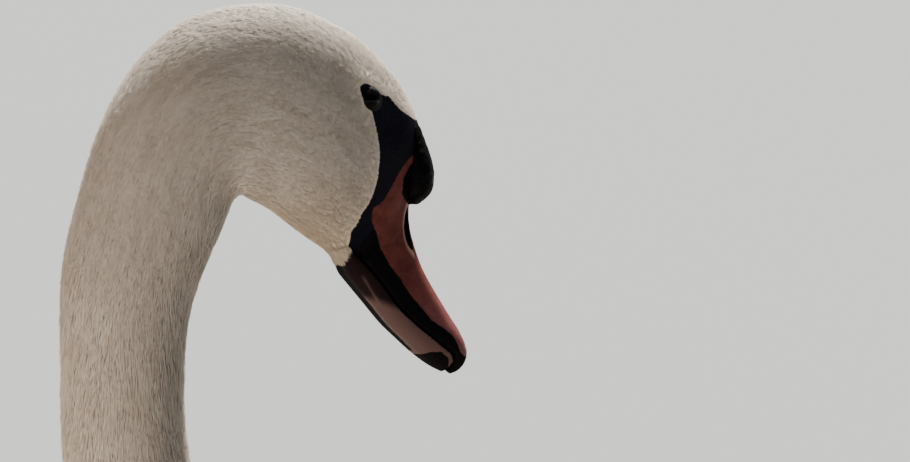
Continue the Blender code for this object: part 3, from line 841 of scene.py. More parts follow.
def makeLowerBill(material):
    look = billLook
    s = np.linspace(0, 1, look["lowerAlong"])
    under = np.linspace(0, math.pi, look["lowerRound"])
    points, rows, inward, down = lowerBill(s, under)
    edge = rows[:, 2:4]
    y = points[..., 1] / rows[:, 4][:, None]
    across = np.linspace(-1, 1, look["under"])[1:-1]
    floor = np.zeros((len(s), len(across), 3))
    floor[..., [0, 2]] = edge[:, None]
    floor[..., 1] = (rows[:, 4] - look["lip"])[:, None] * across[None]
    floor -= inward * look["lip"] * (1 - across ** 2)[None, :, None]
    turn = (under / math.pi - 0.5)[None] * 2
    nail = np.abs((s[:, None] - 0.915) / 0.105) ** 2.5 + np.abs((turn - 0.06) / 0.82) ** 2.5
    amber = smoothStep(0.87, 0.92, s)[:, None] * smoothStep(-0.45, -0.65, turn)
    comb = (0.02 + 0.09 * teethAlong(s) * smoothStep(0.45, 0.6, s) * smoothStep(0.97, 0.93, s))[:, None]
    black = np.maximum(smoothStep(1.25, 0.80, nail), smoothStep(0.02, -0.02, down - comb))
    keel = smoothStep(0.42, 0.28, np.abs(y - 0.10)) * smoothStep(0.84, 0.74, s)[:, None] * (down > 0.5)
    streak = hump(np.abs(y) - 0.90 + 0.5 * (s[:, None] - 0.2), 0, 0.05)
    streak = streak * smoothStep(0.46, 0.34, s)[:, None]
    fade = 1 - 0.5 * streak * smoothStep(0.12, 0.2, s)[:, None]
    dark = smoothStep(0.55, 0.36, s[:, None] + 0.14 * down) * fade
    zero = np.zeros_like(floor[..., 0])
    marks = {
        "black": np.concatenate([np.maximum(black, keel), zero + 1], 1),
        "dark": np.concatenate([dark, zero + 1], 1),
        "along": np.concatenate([2 + amber + 0 * y, zero + 2], 1),
        "horn": np.full((len(s), len(under) + len(across)), 9.0),
        "rimAndHighlight": np.zeros((len(s), len(under) + len(across))),
    }
    grid = np.concatenate([points, floor], 1)
    return addPiece("lower_bill", gridMesh("lower_bill", grid, marks=marks), material)


# the knob over the bill's root: centre (x, z), half depth, half width

knobRows = np.array([
    (0.0765, 0.6330, 0.0020, 0.0040),
    (0.0770, 0.6285, 0.0048, 0.0080),
    (0.0775, 0.6215, 0.0072, 0.0108),
    (0.0790, 0.6130, 0.0088, 0.0134),
    (0.0800, 0.6050, 0.0095, 0.0150),
    (0.0800, 0.5975, 0.0092, 0.0150),
    (0.0790, 0.5915, 0.0072, 0.0122),
    (0.0780, 0.5878, 0.0034, 0.0065),
])
knobRows[:, 0] += crownX
knobLook = {"along": 90, "round": 96, "bumps": 330, "bumpHeight": 0.00022}


def makeKnob(material):
    knots = runLengths(knobRows, ((0, 1),))
    along = knots[-1] * (1 - np.cos(np.linspace(0, math.pi, knobLook["along"]))) / 2
    rows = smoothCurve(knots, knobRows)(along)
    turn = fullTurn(knobLook["round"])
    points = np.zeros((len(rows), len(turn), 3))
    points[..., 0] = rows[:, 0][:, None] + rows[:, 2][:, None] * np.cos(turn)
    points[..., 1] = rows[:, 3][:, None] * np.sin(turn)
    points[..., 2] = rows[:, 1][:, None]
    bumps = knobLook["bumps"]
    lumps = np.array([[noise.fractal(Vector(p) * bumps, 0.8, 2.0, 3) for p in row] for row in points])
    normals = gridNormals(points)
    normals *= np.sign(normals[len(rows) // 2, 0, 0])
    points += normals * (lumps * knobLook["bumpHeight"])[..., None]
    return addPiece("bill_knob", gridMesh("bill_knob", points), material)


ballLook = {"rings": 48, "round": 64, "bulge": 0.035, "bulgeReach": 0.5, "size": 0.985}


def makeEye(side, material):
    # a ball whose pole looks outwards, with the angle from that pole as a mark
    look = ballLook
    out, long, short = (np.array(v) for v in eyeFrame(side))
    tilt = np.linspace(0.02, math.pi - 0.02, look["rings"])
    turn = fullTurn(look["round"])
    ring = long * np.cos(turn)[:, None] + short * np.sin(turn)[:, None]
    bulge = eyeSize * (1 + look["bulge"] * hump(tilt, 0, look["bulgeReach"])) * look["size"]
    points = (out[None, None] * np.cos(tilt)[:, None, None] + ring[None] * np.sin(tilt)[:, None, None])
    points = points * bulge[:, None, None] + np.array((eyeAt.x, side * eyeAt.y, eyeAt.z))
    marks = {"turn": np.repeat(tilt[:, None], len(turn), 1)}
    name = "eyeball_left" if side > 0 else "eyeball_right"
    return addPiece(name, gridMesh(name, points, marks=marks), material)


# the feet, folded forward under the belly, each with its shank lying back to the heel

footLook = {
    "at": (-0.205 + crownX, 0.098),  # where the toes meet
    "toes": ((0.086, -17), (0.104, 4), (0.098, 24)),  # length, degrees outwards
    "toeHeight": 0.0085, "webHeight": 0.0020, "toeWidth": 0.0042,
    "webReach": 0.80, "across": 110, "along": 70,
    "edge": 0.09,  # how far the web goes on past the outer toes, in radians
    "thin": 0.0006,  # the web's thickness at its edge
    "shankAlong": 60, "shankRound": 40,
    # the shank from the toes back to the heel and up: x from the toes, z, half width, half height
    "shank": ((0.006, 0.0062, 0.0070, 0.0058), (-0.020, 0.0085, 0.0062, 0.0080),
              (-0.060, 0.0095, 0.0060, 0.0088), (-0.095, 0.0110, 0.0072, 0.0104),
              (-0.112, 0.0210, 0.0085, 0.0110), (-0.108, 0.0420, 0.0100, 0.0120),
              (-0.098, 0.0620, 0.0120, 0.0140)),
}


def footGrid(side):
    look = footLook
    toes = [(reach, math.radians(turn)) for reach, turn in look["toes"]]
    turns = np.linspace(toes[0][1] - look["edge"], toes[-1][1] + look["edge"], look["across"])
    lengths = np.interp(turns, [t for _, t in toes], [r for r, _ in toes])
    between = np.interp(turns, [t for _, t in toes], [0, 1, 2]) % 1
    lengths *= 1 - (1 - look["webReach"]) * (1 - np.abs(2 * between - 1) ** 3) * (between > 0)
    past = np.maximum(toes[0][1] - turns, turns - toes[-1][1])
    lengths *= 1 - 0.08 * smoothStep(0, look["edge"], past)
    share = np.linspace(0, 1, look["along"])[:, None]
    reach = 0.006 + (lengths[None] - 0.006) * share
    ridge = np.zeros_like(reach)
    for _, turn in toes:
        wide = look["toeWidth"] * (1 - 0.35 * share)
        knuckle = 0.88 + 0.12 * np.cos(share * 6 * math.pi)
        crest = np.exp(-(reach * (turns - turn)[None] / wide) ** 2)
        ridge = np.maximum(ridge, crest * knuckle * (1 - 0.45 * share))
    tip = np.sqrt(np.maximum(0.0, 1 - share ** 8))
    height = look["webHeight"] + (look["toeHeight"] - look["webHeight"]) * ridge
    height = look["thin"] + height * (0.25 + 0.75 * tip)
    x = look["at"][0] + reach * np.cos(turns)
    y = side * (look["at"][1] + reach * np.sin(turns))
    top = np.stack([x, y, height], -1)
    sole = top.copy()
    sole[..., 2] = 0.0
    grid = np.concatenate([top.transpose(1, 0, 2), sole.transpose(1, 0, 2)[:, ::-1]], 1)
    return gridMesh("foot", grid, flip=side > 0)


def shankGrid(side):
    rows = np.array(footLook["shank"])
    knots = runLengths(rows, ((0, 1),))
    row = smoothCurve(knots, rows)(np.linspace(0, knots[-1], footLook["shankAlong"]))
    run = unit(np.stack([np.gradient(row[:, 0]), 0 * row[:, 0], np.gradient(row[:, 1])], -1))
    up = np.cross(np.array((0, -1.0, 0)), run)
    turn = fullTurn(footLook["shankRound"])
    points = np.zeros((len(row), len(turn), 3))
    points[..., 0] = footLook["at"][0] + row[:, 0][:, None]
    points[..., 1] = side * footLook["at"][1] + row[:, 2][:, None] * np.sin(turn)
    points[..., 2] = row[:, 1][:, None]
    points += up[:, None] * (row[:, 3][:, None] * np.cos(turn))[..., None]
    points[..., 2] = np.maximum(points[..., 2], 0)
    return gridMesh("shank", points)


def makeLeg(side, material):
    name = "foot_left" if side > 0 else "foot_right"
    return addPiece(name, joined(name, [footGrid(side), shankGrid(side)]), material)


clawLook = {
    "along": 14, "round": 16, "long": 0.009, "radius": 0.0022, "height": 0.0034,
    "overlap": 0.010, "droop": 0.0012,
}


def makeClaws(material):
    # a short blunt claw at each toe's end
    look, claws = clawLook, []
    for side in (1, -1):
        for length, turn in footLook["toes"]:
            turn = math.radians(turn)
            ahead = np.array((math.cos(turn), side * math.sin(turn), 0))
            across = np.array((-ahead[1], ahead[0], 0))
            root = np.array((footLook["at"][0], side * footLook["at"][1], look["height"]))
            root = root + ahead * (length - look["overlap"])
            share = np.linspace(0, 1, look["along"])[:, None, None]
            turns = fullTurn(look["round"])[None, :, None]
            size = look["radius"] * np.sqrt(np.maximum(1e-3, 1 - share ** 2.2))
            points = root + ahead * share * look["long"] + across * size * np.cos(turns)
            rise = size * np.sin(turns) * 1.1 - look["droop"] * share ** 2
            points = points + np.array((0, 0, 1.0)) * rise
            points[..., 2] = np.maximum(points[..., 2], 0.0002)
            claws.append(gridMesh("claw", points, flip=True))
    return addPiece("claws", joined("claws", claws), material)


# the stage: one wide floor that pales with distance, and a soft grey world, brightest at the horizon ahead
# of the camera. The key is a strong sun, high on the far side; the fill is weak and warm, low from the tail's
# end; the bounce is a small warm lamp on the near side, for the light off the ground.

stageLook = {
    "floor": 400.0, "nearTone": (0.118, 0.111, 0.104), "farTone": (0.262, 0.288, 0.312),
    "toneReach": (1.8, 4.8),  # distances between which the floor's tone changes
    "horizon": (0.56, 0.58, 0.60), "behind": (0.15, 0.155, 0.165), "overhead": (0.07, 0.075, 0.085),
    "ahead": (0.31, 0.95, 0),  # the direction in which the horizon is brightest
    "suns": {
        "key": {"from": (0.44, 0.60, 1.60), "power": 12.5, "spread": 12, "tone": (1.0, 0.93, 0.84)},
        "fill": {"from": (-1.0, -0.18, 0.05), "power": 0.50, "spread": 50, "tone": (1.0, 0.79, 0.62)},
    },
    "bounce": {"at": (-0.35, -0.45, 0.10), "to": (-0.03, 0.0, 0.42), "size": 0.30, "spread": 56,
               "power": 0.70, "tone": (1.0, 0.82, 0.67)},
}
cameraLook = {
    "target": (crownX + 0.102, 0, 0.5735), "azimuth": -18, "elevation": 3, "away": 6.0, "lens": 462.5,
}


def turnTo(made, direction, axis):
    made.rotation_mode = "QUATERNION"
    made.rotation_quaternion = direction.to_track_quat(axis, "Y")


def addLamp(name, kind, settings, backwards):
    light = bpy.data.lights.new(name, kind)
    light.energy = settings["power"]
    light.color = settings["tone"]
    lamp = bpy.data.objects.new(name, light)
    turnTo(lamp, backwards, "Z")
    scene.collection.objects.link(lamp)
    return lamp


def makeStage():
    look = stageLook
    half = look["floor"] / 2
    corners = [(-half, -half, 0), (half, -half, 0), (half, half, 0), (-half, half, 0)]
    mesh = bpy.data.meshes.new("floor")
    mesh.from_pydata(corners, [], [(0, 1, 2, 3)])
    material, tree, bsdf = newMaterial("floor", Roughness=0.85)
    away = addNode(tree, "ShaderNodeVectorMath", {0: places(tree)}, operation="LENGTH").outputs["Value"]
    tone = mixed(tree, mapped(tree, away, *look["toneReach"]), look["nearTone"], look["farTone"])
    tree.links.new(tone, bsdf.inputs["Base Color"])
    addPiece("floor", mesh, material)
    world = bpy.data.worlds.new("studio")
    world.use_nodes = True
    tree = world.node_tree
    toward = addNode(tree, "ShaderNodeTexCoord").outputs["Generated"]
    rise = addNode(tree, "ShaderNodeSeparateXYZ", {0: toward}).outputs[2]
    ahead = addNode(tree, "ShaderNodeVectorMath", {0: toward, 1: look["ahead"]}, operation="DOT_PRODUCT")
    ahead = ahead.outputs["Value"]
    low = mixed(tree, mapped(tree, ahead, -0.3, 0.7), look["behind"], look["horizon"])
    sky = mixed(tree, mapped(tree, rise, 0.04, 0.16), low, look["overhead"])
    tree.links.new(sky, tree.nodes["Background"].inputs[0])
    scene.world = world
    for kind, sun in look["suns"].items():
        addLamp(kind, "SUN", sun, Vector(sun["from"])).data.angle = math.radians(sun["spread"])
    bounce = look["bounce"]
    lamp = addLamp("bounce", "AREA", bounce, Vector(bounce["at"]) - Vector(bounce["to"]))
    lamp.location = bounce["at"]
    lamp.data.shape = "DISK"
    lamp.data.size = bounce["size"]
    lamp.data.spread = math.radians(bounce["spread"])
    lamp.visible_camera = False


def makeCamera():
    look = cameraLook
    turn, rise = math.radians(look["azimuth"]), math.radians(look["elevation"])
    back = Vector((math.sin(turn) * math.cos(rise), -math.cos(turn) * math.cos(rise), math.sin(rise)))
    data = bpy.data.cameras.new("camera")
    data.lens = look["lens"]
    camera = bpy.data.objects.new("camera", data)
    turnTo(camera, -back, "-Z")
    camera.location = Vector(look["target"]) + back * look["away"]
    scene.collection.objects.link(camera)
    scene.camera = camera


makeCamera()
makeStage()

plumage = plumageMaterial()
horn = hornMaterial()
eye = eyeMaterial()
hornBlack, knobBlack, footBlack = (blackMaterial(name) for name in blackLooks)
print("stage, lamps and finishes ready")

skin = makeSkin(skinMaterial())
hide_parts("tail", "trunk", "neck_lower", "neck_middle", "neck_upper", "head", "wing_left",
            "wing_right")
upper = makeUpperBill("upper_bill", horn, 0.0, billLook["nailFrom"] + 0.01, billLook["along"])
nail = makeUpperBill("nail", horn, billLook["nailFrom"], 1.0, billLook["tip"], 0.0002)
lower = makeLowerBill(horn)
knob = makeKnob(knobBlack)
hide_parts("bill_upper")
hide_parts("bill_nail")
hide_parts("bill_lower")
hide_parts("knob")
pieces = [
    (skin, "plumage"), (upper, "horn_orange"), (nail, "horn_black"), (lower, "horn_black"),
    (knob, "knob_black"),
]
for side, word in ((1, "left"), (-1, "right")):
    ball, leg = makeEye(side, eye), makeLeg(side, footBlack)
    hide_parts("eye_" + word)
    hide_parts("leg_" + word)
    pieces += [(ball, "eye_brown"), (leg, "foot_black")]
pieces.append((makeClaws(hornBlack), "foot_black"))
print("skin, bill, eyes and feet made")


# the coat: tufts of fine blades and small feathers, set over the skin by Geometry Nodes, all lying along
# the plumage

def sampled(grid, row, col, wrap=True):
    # values of a grid between its rows and columns
    r0 = np.clip(np.floor(row).astype(int), 0, grid.shape[0] - 2)
    c0 = np.floor(col).astype(int)
    fr, fc = row - r0, col - c0
    if wrap:
        c0, c1 = c0 % grid.shape[1], (c0 + 1) % grid.shape[1]
    else:
        c0 = np.clip(c0, 0, grid.shape[1] - 2)
        c1, fc = c0 + 1, col - c0
    if grid.ndim == 3:
        fr, fc = fr[:, None], fc[:, None]
    low = grid[r0, c0] * (1 - fc) + grid[r0, c1] * fc
    high = grid[r0 + 1, c0] * (1 - fc) + grid[r0 + 1, c1] * fc
    return low * (1 - fr) + high * fr


def staggered(points, first, last, spacing, jitter=0.34, wrap=True):
    # roots spread over a grid of points between two rows, spacing apart by row, as (row, column) places
    row, rows, cols = float(first), [], []
    count = 0
    while row < last:
        r = int(min(row, len(points) - 2))
        gap = spacing(row)
        ring = points[r]
        step = np.linalg.norm(points[r + 1] - ring, axis=-1)
        longest = max(1e-6, step.max())
        sides = np.roll(ring, -1, 0) - ring if wrap else ring[1:] - ring[:-1]
        around = np.linalg.norm(sides, axis=-1)
        length = np.concatenate([[0], np.cumsum(around)])
        number = max(3, int(round(length[-1] / gap)))
        at = (np.arange(number) + 0.5 * (count % 2) + rng.uniform(-jitter, jitter, number)) / number
        at = at % 1 if wrap else np.clip(at, 0, 1)
        col = np.interp(at * length[-1], length, np.arange(len(length)))
        share = step[np.minimum(col.astype(int), len(step) - 1)] / longest
        keep = (np.arange(number) * 0.618034 + count * 0.367) % 1 < share
        rows.append(row + rng.uniform(-jitter, jitter, number)[keep] * gap / longest)
        cols.append(col[keep])
        row += 0.87 * gap / longest
        count += 1
    return np.clip(np.concatenate(rows), 0, len(points) - 1.001), np.concatenate(cols)


tuftLook = {"kinds": 6, "blades": 6, "spread": 0.50, "thick": 0.05, "bladePaintedShade": (-1.3, 0.7)}
bladePoints = 5  # the points of one blade


def tuftSource(index):
    # a small bundle of pointed blades, one long and one high, closed and lying along +Y
    look, dice = tuftLook, np.random.default_rng(100 + index)
    verts, faces, patch = [], [], []
    for k in range(look["blades"]):
        x = look["spread"] * (2 * (k + 0.5) / look["blades"] - 1) + dice.uniform(-0.07, 0.07)
        y, long = dice.uniform(0.0, 0.40), dice.uniform(0.62, 0.95)
        lift, lean = dice.uniform(0.62, 1.0), dice.uniform(-0.05, 0.05) + 0.05 * x
        half, mid = dice.uniform(0.075, 0.115), 0.42
        n = len(verts)
        z = lift * 0.62
        verts += [(x, y, -0.25), (x + lean * mid - half, y + long * mid, z - look["thick"]),
                  (x + lean * mid, y + long * mid, z + look["thick"]),
                  (x + lean * mid + half, y + long * mid, z - look["thick"]), (x + lean, y + long, lift)]
        faces += [(n, n + 2, n + 1), (n, n + 3, n + 2), (n, n + 1, n + 3)]
        faces += [(n + 4, n + 1, n + 2), (n + 4, n + 2, n + 3), (n + 4, n + 3, n + 1)]
        across = (k + 0.5) / look["blades"]
        patch += [(across, 0, 0), (across - 0.04, mid, 0), (across, mid, 0), (across + 0.04, mid, 0)]
        patch += [(across, 1, 0)]
    return plainSource("tuft%d" % index, verts, faces, patch)


def plainSource(name, verts, faces, patch):
    mesh = bpy.data.meshes.new(name)
    mesh.from_pydata(verts, [], faces)
    setMark(mesh, "patch", patch)
    mesh.polygons.foreach_set("use_smooth", np.ones(len(faces), bool))
    return bpy.data.objects.new(name, mesh)


vaneLook = {"kinds": 4, "steps": 6, "half": 0.42, "cup": 0.10, "thick": 0.04}


def vaneSource(index):
    # a small rounded contour feather, closed, with its shaft raised a little, one long along +Y
    look, dice = vaneLook, np.random.default_rng(200 + index)
    verts, faces, patch = [], [], []
    lean = dice.uniform(-0.06, 0.06)
    for i in range(look["steps"] + 1):
        s = 0.04 + 0.96 * (1 - (1 - i / look["steps"]) ** 1.6)
        ending = math.sqrt(max(0.004, 1 - max(0.0, (s - 0.42) / 0.58) ** 2.2))
        wide = look["half"] * min(1.0, (s / 0.42) ** 0.6) * ending
        left, right = wide * dice.uniform(0.93, 1.07), wide * dice.uniform(0.93, 1.07)
        x, z = lean * s * s, -0.35 + 1.35 * (1 - (1 - s) ** 2)
        end = 0.04 * math.sqrt(max(0.0, s - 0.7))
        flat = min(1.0, 1.5 * wide / look["half"])  # the tip thins out and lies flat
        edge, thick = z - look["cup"] * flat * (0.3 + 0.7 * s), look["thick"] * (0.1 + 0.9 * flat)
        verts += [(x - left, s - end, edge), (x, s, z + thick), (x + right, s - end, edge), (x, s, z - thick)]
        patch += [(0.1, s, 0), (0.5, s, 0), (0.9, s, 0), (0.5, s, 0)]
    for i in range(look["steps"]):
        for k in range(4):
            a, b = 4 * i + k, 4 * i + (k + 1) % 4
            faces += [(a, b + 4, a + 4), (a, b, b + 4)]
    last = 4 * look["steps"]
    faces += [(3, 1, 0), (3, 2, 1), (last, last + 1, last + 3), (last + 1, last + 2, last + 3)]
    return plainSource("vane%d" % index, verts, faces, patch)


def sourceSet(name, makeOne, count):
    made = bpy.data.collections.new(name)
    for i in range(count):
        made.objects.link(makeOne(i))
    return made


def coatTree():
    # sets a random source on each root, turned to the lie of the coat, and gives it its place on the bake map
    tree = bpy.data.node_groups.new("coat", "GeometryNodeTree")
    face = tree.interface
    face.new_socket("Geometry", in_out="OUTPUT", socket_type="NodeSocketGeometry")
    inputs = (("Geometry", "Geometry"), ("Sources", "Collection"), ("Yaw", "Float"), ("Roll", "Float"),
              ("Size Jitter", "Float"), ("Patch", "Float"), ("Seed", "Int"), ("Finish", "Material"))
    for label, kind in inputs:
        face.new_socket(label, in_out="INPUT", socket_type="NodeSocket" + kind)
    start = tree.nodes.new("NodeGroupInput").outputs
    end = tree.nodes.new("NodeGroupOutput")

    def node(kind, links=None, **settings):
        return addNode(tree, kind, links, **settings).outputs[0]

    def named(label):
        made = addNode(tree, "GeometryNodeInputNamedAttribute", {"Name": label}, data_type="FLOAT_VECTOR")
        return next(out for out in made.outputs if out.enabled and out.name == "Attribute")

    def between(low, high, step):
        # a random number for each root; step keeps one draw apart from the next
        seed = maths(tree, "ADD", start["Seed"], float(step))
        made = addNode(tree, "FunctionNodeRandomValue", data_type="FLOAT")
        for name, value in (("Min", low), ("Max", high)):
            socket = next(s for s in made.inputs if s.enabled and s.name == name)
            if isinstance(value, bpy.types.NodeSocket):
                tree.links.new(value, socket)
            else:
                socket.default_value = value
        tree.links.new(seed, made.inputs["Seed"])
        return next(out for out in made.outputs if out.enabled)

    def eitherWay(label, step):
        return between(maths(tree, "MULTIPLY", start[label], -1.0), start[label], step)

    axes = node("FunctionNodeAxesToRotation", {0: named("normal"), 1: named("flow")},
                primary_axis="Z", secondary_axis="Y")
    angles = node("ShaderNodeCombineXYZ", {"Y": eitherWay("Roll", 1), "Z": eitherWay("Yaw", 2)})
    turn = node("FunctionNodeEulerToRotation", {0: angles})
    turned = node("FunctionNodeRotateRotation", {0: axes, 1: turn}, rotation_space="LOCAL")
    low = maths(tree, "SUBTRACT", 1.0, start["Size Jitter"])
    high = maths(tree, "ADD", 1.0, start["Size Jitter"])
    size = node("ShaderNodeVectorMath", {0: named("size"), "Scale": between(low, high, 3)}, operation="SCALE")
    pick = node("ShaderNodeMath", {0: between(0.0, 997.0, 4)}, operation="FLOOR")
    several = node("GeometryNodeCollectionInfo", {
        "Collection": start["Sources"], "Separate Children": True, "Reset Children": True})
    spread = node("GeometryNodeInstanceOnPoints", {
        "Points": start["Geometry"], "Instance": several, "Pick Instance": True, "Instance Index": pick,
        "Rotation": turned, "Scale": size})
    real = node("GeometryNodeRealizeInstances", {0: spread})
    middle = node("ShaderNodeVectorMath", {0: named("patch"), 1: (0.5, 0.5, 0)}, operation="SUBTRACT")
    small = node("ShaderNodeVectorMath", {0: middle, "Scale": start["Patch"]}, operation="SCALE")
    place = node("ShaderNodeVectorMath", {0: named("root"), 1: small}, operation="ADD")
    baked = addNode(tree, "GeometryNodeStoreNamedAttribute", {"Geometry": real, "Name": "OFBake"},
                    data_type="FLOAT2", domain="CORNER")
    tree.links.new(place, next(s for s in baked.inputs if s.enabled and s.name == "Value"))
    done = node("GeometryNodeSetMaterial", {"Geometry": baked.outputs[0], "Material": start["Finish"]})
    tree.links.new(done, end.inputs[0])
    return tree


bakePatch = 0.003  # the width of one tuft's or feather's place on the bake map
coats = coatTree()
tufts = sourceSet("tufts", tuftSource, tuftLook["kinds"])
vanes = sourceSet("vanes", vaneSource, vaneLook["kinds"])


def soften(mesh, share):
    # shades the blades nearly as the surface they lie on, as fine plumage is seen
    count = len(mesh.vertices)
    own, skinward = np.empty(count * 3, np.float32), np.empty(count * 3, np.float32)
    mesh.vertices.foreach_get("normal", own)
    mesh.attributes["normal"].data.foreach_get("vector", skinward)
    skinward = skinward.reshape(-1, 3)
    # where the surface looks up, the light rakes the blades
    share = (share - 0.14 * smoothStep(0.45, 0.9, skinward[:, 2]))[:, None]
    blend = unit(own.reshape(-1, 3) * (1 - share) + skinward * share)
    mesh.normals_split_custom_set_from_vertices(blend.tolist())


def makeCoat(name, sources, material, roots, look, seed, soft=0.88):
    # one coat piece: roots holds each root's point, normal, flow, size, tone and place on the bake map
    base = bpy.data.meshes.new(name + "Roots")
    base.vertices.add(len(roots["point"]))
    base.vertices.foreach_set("co", roots["point"].astype(np.float32).ravel())
    for key in ("normal", "flow", "size", "root", "tone"):
        setMark(base, key, roots[key])
    grown = bpy.data.objects.new(name + "Roots", base)
    scene.collection.objects.link(grown)
    coat = grown.modifiers.new("coat", "NODES")
    coat.node_group = coats
    values = {"Sources": sources, "Yaw": math.radians(look["yaw"]), "Roll": math.radians(look["roll"]),
              "Size Jitter": look["jitter"], "Patch": bakePatch, "Seed": seed, "Finish": material}
    for item in coats.interface.items_tree:
        if item.in_out == "INPUT" and item.name in values:
            coat[item.identifier] = values[item.name]
    mesh = bpy.data.meshes.new_from_object(grown.evaluated_get(bpy.context.evaluated_depsgraph_get()))
    bpy.data.objects.remove(grown)
    soften(mesh, soft)
    # painted shade: each blade of a tuft gets its own tone, mostly darker, for the shade that falls between
    # the blades
    if sources is tufts:
        layer = mesh.attributes["tone"].data
        tones = np.empty(len(layer), np.float32)
        layer.foreach_get("value", tones)
        own = np.random.default_rng(seed).uniform(*tuftLook["bladePaintedShade"], len(tones) // bladePoints)
        layer.foreach_set("value", tones + np.repeat(own, bladePoints).astype(np.float32))
    for key in ("normal", "flow", "size", "root", "patch"):
        if key in mesh.attributes:
            mesh.attributes.remove(mesh.attributes[key])
    co = np.empty(len(mesh.vertices) * 3, np.float32)
    mesh.vertices.foreach_get("co", co)
    co[2::3] = np.maximum(co[2::3], 0.0004)  # no tuft or feather lies under the floor
    mesh.vertices.foreach_set("co", co)
    mesh.name = name
    made = bpy.data.objects.new(name, mesh)
    scene.collection.objects.link(made)
    pieces.append((made, "plumage"))
    print(name, len(roots["point"]), "roots,", len(mesh.polygons), "faces")
    return made


def rowOf(station):
    # the surface's row at a station
    return float(np.interp(station, surface["station"][:, 0], np.arange(len(surface["station"]))))


# the streaks of painted shade in the coat's tone
shadeStreakLook = {"across": 0.0030, "along": 0.020, "radius": 0.032, "share": 3.2}
bareMargin = 0.35  # no root stands nearer to the bare face than this, in mm


def coatRoots(look):
    # roots on the skin between two stations
    lowRow, highRow = (rowOf(station) for station in look["stations"])

    def spacing(row):
        station = np.interp(row, np.arange(len(surface["station"])), surface["station"][:, 0])
        return 0.001 * np.interp(station, *look["gap"])

    row, col = staggered(surface["outer"], lowRow, highRow, spacing)
    kept = ("skin", "normals", "flow", "bare", "depth", "station")
    at = {key: sampled(surface[key], row, col) for key in kept}
    keep = at["bare"] < -bareMargin
    row, col = row[keep], col[keep]
    at = {key: value[keep] for key, value in at.items()}
    near = smoothStep(0.0, 14.0, -at["bare"])
    long = np.interp(at["station"], *look["length"]) * (0.42 + 0.58 * near)
    wide = np.interp(at["station"], *look["width"]) * (0.62 + 0.38 * near)
    high = np.minimum(at["depth"] * 1000 * look["rise"], 0.55 * long)
    uv = np.stack([col / skinLook["round"], (row - lowRow) / (highRow - lowRow), 0 * row], -1)
    cloud = np.array([noise.noise(Vector(p) * 45) for p in at["skin"]])
    # painted shade: darker and lighter streaks along the lie of the coat, from tuft to tuft, for the strokes
    # that the shade between the tufts makes
    turn = 2 * math.pi * col / skinLook["round"] * shadeStreakLook["radius"] / shadeStreakLook["across"]
    along = np.interp(at["station"], np.arange(len(formKnots)), formKnots) / shadeStreakLook["along"]
    streak = np.array([noise.noise(Vector((a, b, 5.0))) for a, b in zip(turn, along)])
    tone = 0.35 * cloud + shadeStreakLook["share"] * streak + rng.uniform(-0.6, 0.6, len(row)) * 0.6
    return {"point": at["skin"], "normal": unit(at["normals"]), "flow": unit(at["flow"]), "tone": tone,
            "size": 0.001 * np.stack([wide, long, high], -1), "root": np.clip(uv, 0.003, 0.997),
            "side": np.sin(2 * math.pi * col / skinLook["round"]), "row": row}


def chosen(roots, keep):
    return {key: value[keep] for key, value in roots.items()}


# gap, length and width are in mm at the stations before them; yaw and roll are in degrees
headCoat = {
    "stations": (20, 31), "parts": ("nape", "face"), "border": 25.2, "seed": 10,
    "gap": ((20, 22, 24, 27, 31), (2.15, 2.05, 1.95, 1.7, 1.6)),
    "length": ((20, 22, 24, 27, 31), (9.0, 8.0, 7.0, 6.0, 4.6)),
    "width": ((20, 24, 31), (2.7, 2.3, 1.8)),
    "rise": 1.0, "yaw": 4, "roll": 4, "jitter": 0.18,
}
neckCoat = {
    "stations": (11, 20.15), "parts": ("neck_low", "neck_high"), "border": 15.6, "seed": 20,
    "gap": ((11, 13, 16, 20), (5.6, 3.9, 2.9, 2.15)),
    "length": ((11, 13, 16, 20), (18.0, 14.0, 12.0, 9.0)),
    "width": ((11, 16, 20), (6.5, 3.4, 2.7)),
    "rise": 1.0, "yaw": 4, "roll": 4, "jitter": 0.20,
}
chinCoat = {
    "along": 40, "round": 80, "reach": 0.085, "gap": 0.00095, "size": (0.0018, 0.0048, 0.0008), "seed": 40,
    "raised": 0.0003, "yaw": 5, "roll": 4, "jitter": 0.15,
}


def makeTuftCoat(material, look):
    # four pieces: the two halves of each of two lengths, which meet at the border's station
    roots = coatRoots(look)
    border, left = rowOf(look["border"]), roots["side"] >= 0
    lower = roots["row"] < border
    seed = look["seed"]
    for part, along in zip(look["parts"], (lower, ~lower)):
        for word, half in (("left", left), ("right", ~left)):
            kept = chosen(roots, half & along)
            makeCoat("coat_%s_%s" % (part, word), tufts, material, kept, look, seed)
            seed += 1


